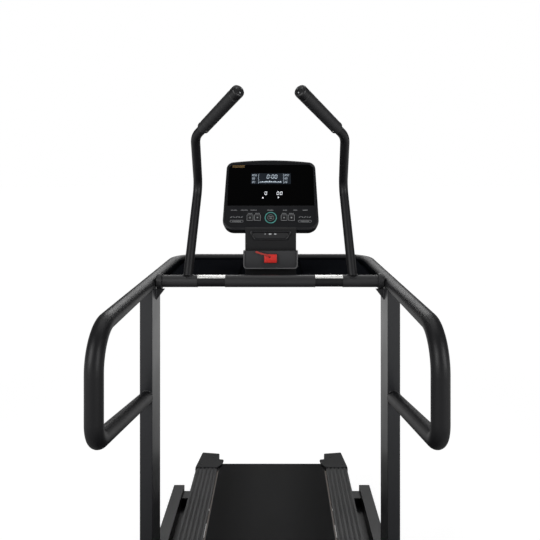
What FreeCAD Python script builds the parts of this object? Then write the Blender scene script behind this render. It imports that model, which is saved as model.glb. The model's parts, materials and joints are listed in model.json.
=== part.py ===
import FreeCAD, Part
import math
import os

import Sketcher
from FreeCAD import Placement, Rotation, Vector

# Incline climber: a running deck that tilts up between two uprights, with looped
# handrails, two tall horn grips and a console on a short neck.
# Millimetres. +X is the user's right, +Y is forward, +Z is up. The origin is on the
# floor under the middle of the machine.

os.makedirs("parts", exist_ok=True)
doc = FreeCAD.newDocument("climber")
sheet = doc.addObject("Spreadsheet::Sheet", "Sizes")
aliases = []
nodes = {}
X_AXIS = Vector(1, 0, 0)
Y_AXIS = Vector(0, 1, 0)
Z_AXIS = Vector(0, 0, 1)


class Dim:
    """A number together with the spreadsheet expression that it comes from."""

    def __init__(self, number, text):
        self.number = number
        self.text = text

    def __float__(self):
        return float(self.number)

    def __neg__(self):
        return Dim(-self.number, "(0 - " + self.text + ")")

    def __add__(self, other):
        other = as_dim(other)
        return Dim(self.number + other.number, "(" + self.text + " + " + other.text + ")")

    def __sub__(self, other):
        other = as_dim(other)
        return Dim(self.number - other.number, "(" + self.text + " - " + other.text + ")")

    def __mul__(self, other):
        other = as_dim(other)
        return Dim(self.number * other.number, "(" + self.text + " * " + other.text + ")")

    def __truediv__(self, other):
        other = as_dim(other)
        return Dim(self.number / other.number, "(" + self.text + " / " + other.text + ")")

    def __radd__(self, other):
        return as_dim(other) + self

    def __rsub__(self, other):
        return as_dim(other) - self

    def __rmul__(self, other):
        return as_dim(other) * self


def as_dim(value):
    if isinstance(value, Dim):
        return value
    return Dim(float(value), "(" + repr(float(value)) + ")")


def sine(angle):
    """The sine of an angle in degrees, kept with its expression."""
    return Dim(math.sin(math.radians(angle.number)), "sin(" + angle.text + " * 1 deg)")


def cosine(angle):
    """The cosine of an angle in degrees, kept with its expression."""
    return Dim(math.cos(math.radians(angle.number)), "cos(" + angle.text + " * 1 deg)")


def size(alias, number, note):
    """Write one driving dimension into the sheet and return it."""
    row = str(len(aliases) + 1)
    sheet.set("A" + row, note)
    sheet.set("B" + row, str(number))
    sheet.setAlias("B" + row, alias)
    aliases.append(alias)
    return Dim(number, "Sizes." + alias)


# ---------------------------------------------------------------- driving sizes

rail_span = size("rail_span", 894, "between the centre lines of the two handrails")
rail_height = size("rail_height", 1187, "floor to handrail centre line")
rail_dia = size("rail_dia", 50, "handrail tube outside diameter")
rail_wall = size("rail_wall", 2.5, "wall of the round tubes")
loop_back = size("loop_back", 506, "middle of the machine back to the upright part of the loop")
loop_drop = size("loop_drop", 290, "handrail centre line down to the loop's lower corner")
leg_drop = size("leg_drop", 112, "fall of the loop's lower leg on its way to the upright")
loop_top_bend = size("loop_top_bend", 110, "centre line radius of the loop's upper bend")
loop_low_bend = size("loop_low_bend", 65, "centre line radius of the loop's lower bend")
rail_joint = size("rail_joint", 245, "forward place where the rear rail meets the front rail")
crossbar_front = size("crossbar_front", 700, "forward place of the front crossbar")
corner_bend = size("corner_bend", 110, "centre line radius of the front corners")

upright_width = size("upright_width", 45, "upright tube across the machine")
upright_depth = size("upright_depth", 136, "upright tube along the machine")
upright_place = size("upright_place", 138, "forward place of the upright's middle")
steel_wall = size("steel_wall", 3, "wall of the rectangular tubes")

bar_place = size("bar_place", 140, "forward place of the pulse bar")
bar_height = size("bar_height", 1193, "floor to the pulse bar's centre line")
bar_dia = size("bar_dia", 42, "pulse bar tube outside diameter")
sleeve_dia = size("sleeve_dia", 45, "outside diameter of the sleeves on the pulse bar")
sensor_near = size("sensor_near", 166, "middle of the machine to a sensor plate's inner end")
sensor_far = size("sensor_far", 271, "middle of the machine to a sensor plate's outer end")

horn_spread = size("horn_spread", 307, "middle of the machine to a horn's foot")
horn_dia = size("horn_dia", 35, "horn tube outside diameter")
grip_dia = size("grip_dia", 46, "horn grip outside diameter")
grip_length = size("grip_length", 262, "length of the horn grip")
grip_button_dia = size("grip_button_dia", 8, "diameter of a grip button")
grip_button_rise = size("grip_button_rise", 1.6, "how far a grip button stands out")

base_length = size("base_length", 1520, "length of the floor rails")
base_height = size("base_height", 70, "height of the floor rails' tube")
base_width = size("base_width", 50, "width of the floor rails' tube")
foot_gap = size("foot_gap", 15, "floor to the underside of the floor rails")
cross_height = size("cross_height", 50, "height of the base cross tubes")
cross_depth = size("cross_depth", 60, "base cross tubes along the machine")
track_thick = size("track_thick", 8, "thickness of the lift wheels' track")
front_cross = size("front_cross", 715, "forward place of the front cross tube")

deck_half = size("deck_half", 348, "middle of the machine to the foot rail's outer edge")
rail_inner = size("rail_inner", 251, "middle of the machine to the foot rail's inner edge")
deck_length = size("deck_length", 1548, "overall length of the deck")
belt_width = size("belt_width", 486, "width of the running belt")
belt_thick = size("belt_thick", 2, "thickness of the running belt")
roller_dia = size("roller_dia", 76, "diameter of both rollers")
roller_gap = size("roller_gap", 0.4, "space between roller and belt")
axle_height = size("axle_height", 188, "floor to the roller axles")
axle_dia = size("axle_dia", 20, "roller axle diameter")
front_axle = size("front_axle", 673, "forward place of the front roller")
rear_axle = size("rear_axle", -690, "forward place of the rear roller")
board_thick = size("board_thick", 20, "thickness of the deck board")
cushion_thick = size("cushion_thick", 10, "thickness of the deck cushions")
beam_width = size("beam_width", 40, "deck beam across the machine")
beam_height = size("beam_height", 80, "deck beam height")
beam_inner = size("beam_inner", 277, "middle of the machine to the deck beam")
beam_low = size("beam_low", 120, "floor to the underside of the deck beams")
foot_step = size("foot_step", 3.6, "belt surface up to the flat of the foot rails")
foot_front = size("foot_front", 635, "forward end of the foot rails")

pivot_place = size("pivot_place", -650, "forward place of the deck's pivot axle")
pivot_height = size("pivot_height", 95, "floor to the deck's pivot axle")
pivot_dia = size("pivot_dia", 24, "deck pivot axle diameter")
running_gap = size("running_gap", 0.05, "radial clearance of every running fit")

lift_place = size("lift_place", -50, "forward place of the lift frame's pivot")
lift_height = size("lift_height", 100, "floor to the lift frame's pivot")
lift_length = size("lift_length", 640, "lift frame pivot to the lift wheels")
lift_wheel_dia = size("lift_wheel_dia", 56, "lift wheel diameter")
lever_length = size("lever_length", 60, "lift frame pivot to the actuator's pin")
lever_angle = size("lever_angle", 21.4, "forward lean of the lever when the deck is level")

motor_place = size("motor_place", 560, "forward place of the drive motor")
belt_room = size("belt_room", 5.6, "belt's lower run down to the tubes under it")
motor_dia = size("motor_dia", 110, "drive motor diameter")
motor_pulley_dia = size("motor_pulley_dia", 44, "motor pulley diameter")
roller_pulley_dia = size("roller_pulley_dia", 66, "front roller pulley diameter")

console_width = size("console_width", 390, "console width at its lower edge")
console_top_width = size("console_top_width", 372, "console width at its upper corners")
console_tall = size("console_tall", 313, "console height along its face")
console_arch = size("console_arch", 13, "rise of the console's arched top")
console_depth = size("console_depth", 58, "console thickness")
console_wall = size("console_wall", 3, "wall of the console shells")
console_place = size("console_place", 295, "forward place of the console's lower edge")
console_height = size("console_height", 1367, "floor to the console's lower edge")
console_lean = size("console_lean", 25.5, "lean of the console's face from upright")
neck_width = size("neck_width", 204, "width of the neck cover")
shelf_width = size("shelf_width", 216, "width of the key shelf")
key_width = size("key_width", 50, "width of the safety key")

rail_x = rail_span / 2
rail_radius = rail_dia / 2
loop_y = -loop_back
loop_low = rail_height - loop_drop
upright_back = upright_place - upright_depth / 2
upright_front = upright_place + upright_depth / 2
upright_inner = rail_x - upright_width / 2
base_inner = rail_x - base_width / 2
base_top = foot_gap + base_height
belt_top = axle_height + roller_dia / 2 + roller_gap + belt_thick
belt_low = axle_height - roller_dia / 2 - roller_gap - belt_thick
foot_top = belt_top + foot_step
beam_top = beam_low + beam_height


def on_console(up, out):
    """Forward place and height of a point that is up the console's face and out from it."""
    forward = console_place + up * sine(console_lean) - out * cosine(console_lean)
    height = console_height + up * cosine(console_lean) + out * sine(console_lean)
    return forward, height


def horn_corners():
    """Foot on the pulse bar, forward knee, shoulder and tip of the right horn's centre line."""
    return [Vector(float(horn_spread), float(bar_place), float(bar_height) + float(bar_dia) / 2 - 3),
            Vector(float(horn_spread) - 18, 285, 1545),
            Vector(float(horn_spread) - 30, 120, 1731),
            Vector(float(horn_spread) - 208, -119, 1868)]


# ---------------------------------------------------------------- ways of making

def bind(thing, slot, value):
    """Tie one property of an object to the sheet."""
    thing.setExpression(slot, as_dim(value).text)


def place(thing, at, axis=None, turn=0.0):
    """Put an object at a corner or centre given by three sizes."""
    rotation = Rotation(axis, float(turn)) if axis else Rotation()
    thing.Placement = Placement(Vector(*[float(part) for part in at]), rotation)
    for letter, part in zip("xyz", at):
        bind(thing, "Placement.Base." + letter, part)
    return thing


def box(extent, at):
    """A rectangular block from its three edge lengths and its lowest corner."""
    block = doc.addObject("Part::Box", "Block")
    for slot, part in zip(("Length", "Width", "Height"), extent):
        bind(block, slot, part)
    return place(block, at)


def rod(radius, length, at, along="X"):
    """A round bar that starts at a point and runs along one axis."""
    bar = doc.addObject("Part::Cylinder", "Rod")
    bind(bar, "Radius", radius)
    bind(bar, "Height", length)
    turns = {"X": (Y_AXIS, 90), "Y": (X_AXIS, -90), "Z": (None, 0)}
    axis, turn = turns[along]
    return place(bar, at, axis, turn)


def aimed_rod(radius, length, start, direction):
    """A round bar from a point in any direction, with its radius and length tied to the sheet."""
    bar = doc.addObject("Part::Cylinder", "AimedRod")
    bind(bar, "Radius", radius)
    bind(bar, "Height", length)
    bar.Placement = Placement(start, Rotation(Z_AXIS, direction))
    return bar


def cut(base, *tools):
    """Take tools away from a base, one after another."""
    for tool in tools:
        step = doc.addObject("Part::Cut", "Cut")
        step.Base = base
        step.Tool = tool
        base = step
    return base


def fuse(*pieces):
    """Weld pieces into one solid."""
    weld = doc.addObject("Part::MultiFuse", "Weld")
    weld.Shapes = list(pieces)
    weld.Refine = True
    return weld


def group(*pieces):
    """Keep like pieces together in one node as separate solids."""
    bundle = doc.addObject("Part::Compound", "Set")
    bundle.Links = list(pieces)
    return bundle


def mirror(source):
    """The same piece on the other side of the machine."""
    copy = doc.addObject("Part::Mirroring", "Mirror")
    copy.Source = source
    copy.Normal = X_AXIS
    return copy


def node(label, thing):
    """Name a finished sub-part; the label is also its file name."""
    thing.Label = label
    nodes[label] = thing
    return thing


def pair(label, right):
    """Name a right-hand piece and its mirrored left-hand twin."""
    node(label + "_right", right)
    node(label + "_left", mirror(right))


def new_body():
    return doc.addObject("PartDesign::Body", "Body")


def new_sketch(body, role, offset=0.0):
    """A sketch on one of a body's own origin planes, moved along the plane's normal."""
    flat = next(part for part in body.Origin.OriginFeatures if part.Role == role)
    sketch = body.newObject("Sketcher::SketchObject", "Sketch")
    sketch.AttachmentSupport = (flat, [""])
    sketch.MapMode = "FlatFace"
    sketch.AttachmentOffset = Placement(Vector(0, 0, float(offset)), Rotation())
    bind(sketch, "AttachmentOffset.Base.z", offset)
    return sketch


def pin_point(sketch, geometry, end, across, along):
    """Hold one sketch point at two sizes measured from the origin."""
    for kind, value in (("DistanceX", across), ("DistanceY", along)):
        value = as_dim(value)
        index = sketch.addConstraint(
            Sketcher.Constraint(kind, -1, 1, geometry, end, float(value)))
        if "Sizes." in value.text:
            sketch.setExpression("Constraints[" + str(index) + "]", value.text)


def draw_outline(sketch, corners, bulges=None):
    """A closed outline through corners; an edge with a bulge is an arc that stands out by it."""
    bulges = bulges or {}
    points = [Vector(float(across), float(along), 0) for across, along in corners]
    first = None
    for index, start in enumerate(points):
        end = points[(index + 1) % len(points)]
        if index in bulges:
            chord = end - start
            outward = Vector(chord.y, -chord.x, 0).normalize()
            middle = (start + end) * 0.5 + outward * float(bulges[index])
            edge = sketch.addGeometry(Part.Arc(start, middle, end), False)
        else:
            edge = sketch.addGeometry(Part.LineSegment(start, end), False)
        first = edge if first is None else first
    count = len(points)
    for index in range(count):
        here = first + index
        following = first + (index + 1) % count
        arc_runs_back = (index in bulges
                         and (sketch.getPoint(here, 1) - points[index]).Length > 0.001)
        end = 1 if arc_runs_back else 2
        next_back = ((index + 1) % count in bulges
                     and (sketch.getPoint(following, 1) - points[(index + 1) % count]).Length > 0.001)
        start_of_next = 2 if next_back else 1
        sketch.addConstraint(Sketcher.Constraint("Coincident", here, end, following, start_of_next))
        pin_point(sketch, following, start_of_next, *corners[(index + 1) % count])
        if index in bulges:
            chord_length = (points[(index + 1) % count] - points[index]).Length
            rise = float(bulges[index])
            radius = (chord_length ** 2 / 4 + rise ** 2) / (2 * rise)
            sketch.addConstraint(Sketcher.Constraint("Radius", here, radius))


def pad(body, sketch, length, backward=False, both_ways=False):
    """Raise a sketch into a solid."""
    raised = body.newObject("PartDesign::Pad", "Pad")
    raised.Profile = sketch
    bind(raised, "Length", length)
    raised.Reversed = backward
    raised.Midplane = both_ways
    return raised


def slab(role, corners, start, length, bulges=None, both_ways=False):
    """A body that is one padded outline, from a start along the plane's normal."""
    body = new_body()
    sketch = new_sketch(body, role, start)
    draw_outline(sketch, corners, bulges)
    pad(body, sketch, length, both_ways=both_ways)
    return body


def rectangle(left, right, low, high):
    return [(left, low), (right, low), (right, high), (left, high)]


def round_edges(body, radius, wanted):
    """Fillet the edges of a body's last feature that a test picks out."""
    doc.recompute()
    base = body.Tip
    names = ["Edge" + str(number + 1) for number, edge in enumerate(base.Shape.Edges) if wanted(edge)]
    soft = body.newObject("PartDesign::Fillet", "Fillet")
    soft.Base = (base, names)
    bind(soft, "Radius", radius)
    return body


def runs_along(axis):
    """A test for straight edges that run along one axis."""
    def test(edge):
        if edge.Curve.TypeId != "Part::GeomLine":
            return False
        return abs(abs(edge.Curve.Direction.dot(axis)) - 1) < 1e-6
    return test


def rounded_path(corners, radii):
    """Straight runs joined by tangent arcs, as a list of edges."""
    points = [Vector(*[float(part) for part in corner]) for corner in corners]
    edges = []
    start = points[0]
    for index in range(1, len(points) - 1):
        corner = points[index]
        arriving = (corner - points[index - 1]).normalize()
        leaving = (points[index + 1] - corner).normalize()
        half_turn = arriving.getAngle(leaving) / 2
        radius = float(radii[index - 1])
        reach = radius * math.tan(half_turn)
        first = corner - arriving * reach
        last = corner + leaving * reach
        inward = (leaving - arriving).normalize()
        middle = corner + inward * (radius / math.cos(half_turn) - radius)
        edges.append(Part.LineSegment(start, first).toShape())
        edges.append(Part.Arc(first, middle, last).toShape())
        start = last
    edges.append(Part.LineSegment(start, points[-1]).toShape())
    return edges


def draw_path(sketch, corners, radii):
    """The same kind of path drawn in a sketch, with its bends and corners tied to the sheet."""
    flat = [(across, along, 0) for across, along in corners]
    edges = rounded_path(flat, radii)
    for edge in edges:
        curve = edge.Curve
        if curve.TypeId == "Part::GeomLine":
            ends = [edge.valueAt(edge.FirstParameter), edge.valueAt(edge.LastParameter)]
            sketch.addGeometry(Part.LineSegment(*ends), False)
        else:
            ends = [edge.valueAt(edge.FirstParameter), edge.valueAt(edge.LastParameter)]
            halfway = edge.valueAt((edge.FirstParameter + edge.LastParameter) / 2)
            sketch.addGeometry(Part.Arc(ends[0], halfway, ends[1]), False)
    marks = []
    for across, along in corners[1:-1]:
        mark = sketch.addGeometry(Part.Point(Vector(float(across), float(along), 0)), True)
        pin_point(sketch, mark, 1, across, along)
        marks.append(mark)
    pin_point(sketch, 0, 1, *corners[0])
    last_line = len(edges) - 1
    pin_point(sketch, last_line, 2, *corners[-1])
    for index, mark in enumerate(marks):
        before = 2 * index
        after = 2 * index + 2
        sketch.addConstraint(Sketcher.Constraint("PointOnObject", mark, 1, before))
        sketch.addConstraint(Sketcher.Constraint("PointOnObject", mark, 1, after))
        arc = before + 1
        arc_start = 1
        if (sketch.getPoint(arc, 1) - sketch.getPoint(before, 2)).Length > 0.001:
            arc_start = 2
        sketch.addConstraint(Sketcher.Constraint("Tangent", before, 2, arc, arc_start))
        sketch.addConstraint(Sketcher.Constraint("Tangent", arc, 3 - arc_start, after, 1))
        held = sketch.addConstraint(Sketcher.Constraint("Radius", arc, float(radii[index])))
        if isinstance(radii[index], Dim):
            sketch.setExpression("Constraints[" + str(held) + "]", radii[index].text)
    return len(edges)


def draw_circle(sketch, radius, across, along):
    """One circle held by its centre and radius."""
    radius = as_dim(radius)
    middle = Vector(float(across), float(along), 0)
    circle = sketch.addGeometry(Part.Circle(middle, Z_AXIS, float(radius)), False)
    pin_point(sketch, circle, 3, across, along)
    held = sketch.addConstraint(Sketcher.Constraint("Radius", circle, float(radius)))
    sketch.setExpression("Constraints[" + str(held) + "]", radius.text)


def draw_ring(sketch, outer, inner, across, along):
    """Two circles about one point, for the section of a tube."""
    draw_circle(sketch, outer, across, along)
    draw_circle(sketch, inner, across, along)


def bent_tube(path_role, path_offset, corners, radii, ring_role, ring_offset, ring_at, outer, wall):
    """A hollow round tube along a flat path, with its section drawn at the path's start."""
    body = new_body()
    path = new_sketch(body, path_role, path_offset)
    count = draw_path(path, corners, radii)
    ring = new_sketch(body, ring_role, ring_offset)
    draw_ring(ring, outer, outer - wall, *ring_at)
    doc.recompute()
    pipe = body.newObject("PartDesign::AdditivePipe", "Pipe")
    pipe.Profile = ring
    pipe.Spine = (path, ["Edge" + str(number + 1) for number in range(count)])
    return body


# ---------------------------------------------------------------- floor frame

LEDGE_INNER = 305
LEDGE_BACK = 420
FOOT_INSET = 40
FOOT_RADIUS = 24
FOOT_PAD = 9
STUD_RADIUS = 6
BOLT_RADIUS = 5
BOLT_HEAD = 9
FLANGE_THICK = 8
FLANGE_REACH = 45
BRACKET_INNER = 321
BRACKET_THICK = 10
BRACKET_RISE = 30

foot_places = (FOOT_INSET - base_length / 2, base_length / 2 - FOOT_INSET)
bolt_places = (upright_back - FLANGE_REACH / 2, upright_front + FLANGE_REACH / 2)


def floor_rail():
    """Rectangular floor tube with the ledge that the lift wheels roll on."""
    ends = -base_length / 2
    outer = box((base_width, base_length, base_height), (base_inner, ends, foot_gap))
    inner = box((base_width - 2 * steel_wall, base_length + 2, base_height - 2 * steel_wall),
                (base_inner + steel_wall, ends - 1, foot_gap + steel_wall))
    stud_holes = [rod(STUD_RADIUS, steel_wall + 2, (rail_x, where, foot_gap - 1), "Z")
                  for where in foot_places]
    bolt_holes = [rod(BOLT_RADIUS, steel_wall + 2, (rail_x, where, base_top - steel_wall - 1), "Z")
                  for where in bolt_places]
    ledge_front = front_cross - cross_depth / 2
    ledge = box((base_inner - LEDGE_INNER + 1, ledge_front - LEDGE_BACK, track_thick),
                (LEDGE_INNER, LEDGE_BACK, foot_gap))
    return fuse(cut(outer, inner, *stud_holes, *bolt_holes), ledge)


def cross_tube(middle):
    """One base cross tube between the floor rails."""
    back = middle - cross_depth / 2
    outer = box((2 * base_inner, cross_depth, cross_height), (-base_inner, back, foot_gap))
    inner = box((2 * base_inner + 2, cross_depth - 2 * steel_wall, cross_height - 2 * steel_wall),
                (-base_inner - 1, back + steel_wall, foot_gap + steel_wall))
    return cut(outer, inner)


def pivot_bracket():
    """Upright plate on the rear cross tube that carries the deck's pivot axle."""
    low = foot_gap + cross_height
    plate = box((BRACKET_THICK, cross_depth, pivot_height + BRACKET_RISE - low),
                (BRACKET_INNER, pivot_place - cross_depth / 2, low))
    bore = rod(pivot_dia / 2 + running_gap, BRACKET_THICK + 2,
               (BRACKET_INNER - 1, pivot_place, pivot_height))
    return cut(plate, bore)


def base_crossmembers():
    """The two base cross tubes; the rear one carries both pivot brackets."""
    bracket = pivot_bracket()
    rear = fuse(cross_tube(pivot_place), bracket, mirror(bracket))
    return group(rear, cross_tube(front_cross))


def leveling_feet():
    """Screwed feet under the ends of the floor rails: a stud on a round pad."""
    feet = []
    for side in (-1, 1):
        for where in foot_places:
            at = (side * rail_x, where, 0)
            pad_part = rod(FOOT_RADIUS, FOOT_PAD, at, "Z")
            stud = rod(STUD_RADIUS, foot_gap + steel_wall, at, "Z")
            feet.append(fuse(pad_part, stud))
    return group(*feet)


pair("base_rail", floor_rail())
node("base_crossmembers", base_crossmembers())
node("leveling_feet", leveling_feet())


# ---------------------------------------------------------------- uprights and handrails

GUSSET_RUN = 32
GUSSET_FALL = 42
GUSSET_THICK = 6
COLLAR_LENGTH = 18
COLLAR_EXTRA = 6


def upright():
    """Rectangular upright with a bolted foot flange and the gusset under the pulse bar."""
    height = rail_height - base_top
    outer = box((upright_width, upright_depth, height), (upright_inner, upright_back, base_top))
    hollow = (upright_width - 2 * steel_wall, upright_depth - 2 * steel_wall)
    hollow_at = (upright_inner + steel_wall, upright_back + steel_wall, base_top - 1)
    inner = box((*hollow, height + 2), hollow_at)
    saddle = rod(rail_radius, upright_depth + 20, (rail_x, upright_back - 10, rail_height), "Y")
    flange = box((base_width, upright_depth + 2 * FLANGE_REACH, FLANGE_THICK),
                 (base_inner, upright_back - FLANGE_REACH, base_top))
    flange_hole = box((*hollow, FLANGE_THICK + 2), hollow_at)
    bolt_holes = [rod(BOLT_RADIUS, FLANGE_THICK + 2, (rail_x, where, base_top - 1), "Z")
                  for where in bolt_places]
    under = bar_height - sleeve_dia / 2 - COLLAR_EXTRA
    gusset = slab("XZ_Plane",
                  [(upright_inner + 1, under), (upright_inner + 1, under - GUSSET_FALL),
                   (upright_inner, under - GUSSET_FALL), (upright_inner - GUSSET_RUN, under)],
                  -bar_place - GUSSET_THICK / 2, GUSSET_THICK)
    return fuse(cut(outer, inner, saddle), cut(flange, flange_hole, *bolt_holes), gusset)


def handrail():
    """One bent tube: forward run, down the loop, and the lower leg cut flush at the upright."""
    leg_foot = loop_low - leg_drop
    past = 30
    past_fall = leg_drop * past / (loop_back + upright_back)
    corners = [(rail_joint, rail_height), (loop_y, rail_height), (loop_y, loop_low),
               (upright_back + past, leg_foot - past_fall)]
    tube = bent_tube("YZ_Plane", rail_x, corners, [loop_top_bend, loop_low_bend],
                     "XZ_Plane", -rail_joint, (rail_x, rail_height), rail_radius, rail_wall)
    beyond = box((2 * rail_dia, 2 * rail_dia, 4 * rail_dia),
                 (rail_x - rail_dia, upright_back, leg_foot - 2 * rail_dia))
    return cut(tube, beyond)


def front_rail():
    """The front crossbar with its two bent corners, which plug into the rear rails."""
    corners = [(rail_x, rail_joint), (rail_x, crossbar_front),
               (-rail_x, crossbar_front), (-rail_x, rail_joint)]
    return bent_tube("XY_Plane", rail_height, corners, [corner_bend, corner_bend],
                     "XZ_Plane", -rail_joint, (rail_x, rail_height), rail_radius, rail_wall)


pair("upright", upright())
pair("handrail", handrail())
node("front_rail", front_rail())


# ---------------------------------------------------------------- pulse bar

SENSOR_RISE = 13


def pulse_bar():
    """Straight tube across the machine, coped to fit the handrails and the uprights' tops."""
    tube = rod(bar_dia / 2, 2 * rail_x, (-rail_x, bar_place, bar_height))
    hollow = rod(bar_dia / 2 - rail_wall, 2 * rail_x + 2, (-rail_x - 1, bar_place, bar_height))
    cope = rod(rail_radius, 2 * bar_dia, (rail_x, bar_place - bar_dia, rail_height), "Y")
    stop = box((upright_width, 2 * bar_dia, 2 * bar_dia),
               (upright_inner, bar_place - bar_dia, bar_height - bar_dia))
    return cut(tube, hollow, cope, mirror(cope), stop, mirror(stop))


def bar_sleeve(start, length, radius):
    """One sleeve pushed over the bar."""
    outer = rod(radius, length, (start, bar_place, bar_height))
    inner = rod(bar_dia / 2, length + 2, (start - 1, bar_place, bar_height))
    return cut(outer, inner)


def bar_sleeves():
    """Middle sleeve, two outer sleeves round the horns' feet, and a collar at each end."""
    outer_end = rail_x - rail_radius - COLLAR_LENGTH - 2
    middle = bar_sleeve(-sensor_near, 2 * sensor_near, sleeve_dia / 2)
    foot, knee = horn_corners()[:2]
    horn_room = aimed_rod(horn_dia / 2, 3 * bar_dia, foot, (knee - foot).normalize())
    outer = cut(bar_sleeve(sensor_far, outer_end - sensor_far, sleeve_dia / 2), horn_room)
    collar = bar_sleeve(outer_end, COLLAR_LENGTH, sleeve_dia / 2 + COLLAR_EXTRA)
    return group(middle, outer, mirror(outer), collar, mirror(collar))


def pulse_sensors():
    """Polished shells on the top of the bar, one for each hand."""
    length = sensor_far - sensor_near
    ring = bar_sleeve(sensor_near, length, sleeve_dia / 2)
    lower = box((length + 2, 2 * sleeve_dia, 2 * sleeve_dia),
                (sensor_near - 1, bar_place - sleeve_dia, bar_height + SENSOR_RISE - 2 * sleeve_dia))
    plate = cut(ring, lower)
    return group(plate, mirror(plate))


node("pulse_bar", pulse_bar())
node("bar_sleeves", bar_sleeves())
node("pulse_sensors", pulse_sensors())


# ---------------------------------------------------------------- tray

TRAY_GAP = 10
TRAY_LOW = 1168
TRAY_TOP = 1197
TRAY_FLOOR = 1172
TRAY_WALL = 4
TRAY_SIDE_GAP = 2
TRAY_CORNER_EXTRA = 6
MAST_HALF = 50
MAST_DEEP = 50
MAST_BACK = 316
MAST_ROOM = 4

tray_half = rail_x - rail_radius - TRAY_SIDE_GAP
tray_back = bar_place + bar_dia / 2 + TRAY_GAP
tray_front = crossbar_front - rail_radius - TRAY_SIDE_GAP
tray_corner = corner_bend - rail_radius + TRAY_CORNER_EXTRA


def tray_slice(inset, low, height):
    """A slice of the tray's rounded outline."""
    outline = rectangle(inset - tray_half, tray_half - inset, tray_back + inset, tray_front - inset)
    return round_edges(slab("XY_Plane", outline, low, height), tray_corner - inset, runs_along(Z_AXIS))


def accessory_tray():
    """Moulded tray between the pulse bar and the front crossbar, with a hole for the neck's post."""
    body = tray_slice(0, TRAY_LOW, TRAY_TOP - TRAY_LOW)
    well = tray_slice(TRAY_WALL, TRAY_FLOOR + TRAY_WALL, TRAY_TOP - TRAY_FLOOR)
    underside = tray_slice(TRAY_WALL, TRAY_LOW - 1, TRAY_FLOOR - TRAY_LOW + 1)
    post_hole = box((2 * (MAST_HALF + MAST_ROOM), MAST_DEEP + 2 * MAST_ROOM, 2 * TRAY_WALL),
                    (-MAST_HALF - MAST_ROOM, MAST_BACK - MAST_ROOM, TRAY_FLOOR - TRAY_WALL / 2))
    return cut(body, well, underside, post_hole)


node("accessory_tray", accessory_tray())


# ---------------------------------------------------------------- horns

HORN_RADII = [65, 95]
GRIP_CAP = 9
BUTTON_RING = 11
BUTTON_DEEP = 6
BUTTON_ROOM = 0.15


def grip_frame():
    """Tip of the grip and the direction that it points in."""
    corners = horn_corners()
    return corners[3], (corners[3] - corners[2]).normalize()


def horn_tube():
    """Three-way bent tube, welded to the top of the pulse bar."""
    corners = horn_corners()
    tip, ahead = grip_frame()
    corners[3] = tip - ahead * GRIP_CAP
    path = Part.Wire(rounded_path(corners, HORN_RADII))
    start = (corners[1] - corners[0]).normalize()
    shells = []
    for radius in (float(horn_dia) / 2, float(horn_dia) / 2 - float(rail_wall)):
        ring = Part.Wire(Part.Circle(corners[0], start, radius).toShape())
        shells.append(path.makePipeShell([ring], True, True))
    tube = shells[0].cut(shells[1])
    bar = Part.makeCylinder(float(bar_dia) / 2, 200,
                            Vector(float(horn_spread) - 100, float(bar_place), float(bar_height)), X_AXIS)
    thing = doc.addObject("Part::Feature", "Horn")
    thing.Shape = tube.cut(bar)
    return thing


def button_spots():
    """Where the three buttons sit on the grip's end, as points on its face."""
    tip, ahead = grip_frame()
    across = ahead.cross(Z_AXIS).normalize()
    upward = across.cross(ahead).normalize()
    spots = []
    for turn in (30, 150, 270):
        angle = math.radians(turn)
        sideways = across * (BUTTON_RING * math.cos(angle))
        spots.append(tip + sideways + upward * (BUTTON_RING * math.sin(angle)))
    return spots


def horn_grip():
    """Rubber grip with a closed end that holds three buttons."""
    tip, ahead = grip_frame()
    start = tip - ahead * float(grip_length)
    sleeve = aimed_rod(grip_dia / 2, grip_length, start, ahead)
    bore = aimed_rod(horn_dia / 2, grip_length - GRIP_CAP, start, ahead)
    pockets = [aimed_rod(grip_button_dia / 2 + BUTTON_ROOM, BUTTON_DEEP + 1, spot - ahead * BUTTON_DEEP, ahead)
               for spot in button_spots()]
    return cut(sleeve, bore, *pockets)


def grip_button(spot):
    """A push button that stands out of the grip's end."""
    ahead = grip_frame()[1]
    sink = BUTTON_DEEP - 2
    return aimed_rod(grip_button_dia / 2, grip_button_rise + sink, spot - ahead * sink, ahead)


pair("horn", horn_tube())
pair("horn_grip", horn_grip())
for number, spot in enumerate(button_spots(), start=1):
    pair("grip_button_" + str(number), grip_button(spot))


# ---------------------------------------------------------------- console

LENS_LOW = 105
LENS_HIGH = 292
LENS_HALF = 178
LENS_LEDGE = 4
LENS_DEEP = 4
LENS_GAP = 0.2
LENS_SINK = 0.6
BEZEL_DEEP = 14
BEZEL_FRONT = 5
CORNER_LOW = 44
CORNER_TOP = 30
KEY_ROW = 53
KEY_SPOTS = {"key_mode": -84, "key_down": -54, "key_up": 54, "key_stop": 84}
KEY_SIDE = 27
START_RADIUS = 25
KEY_GAP = 0.3
KEY_RISE = 1.2
KEY_SINK = 6
NECK_SLOT = 84
BOARD_BACK = 30
POST_SPOTS = ((-130, 44), (130, 44), (-130, 268), (130, 268))
BOARD_LOW = 24
BOARD_TOP = 284
BOARD_HALF = 150
face_turn = 90 - console_lean


def onto_face(thing):
    """Stand a piece that was drawn flat on the console's leaning face."""
    thing.Placement = Placement(Vector(0, float(console_place), float(console_height)),
                                Rotation(X_AXIS, float(face_turn)))
    bind(thing, "Placement.Base.y", console_place)
    bind(thing, "Placement.Base.z", console_height)
    bind(thing, "Placement.Rotation.Angle", face_turn)
    return thing


def console_outline(inset):
    """Console outline: wide foot, narrower top, arched upper edge."""
    low = console_width / 2 - inset
    top = console_top_width / 2 - inset
    return [(-low, inset), (low, inset), (top, console_tall - console_arch - inset),
            (-top, console_tall - console_arch - inset)]


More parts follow.
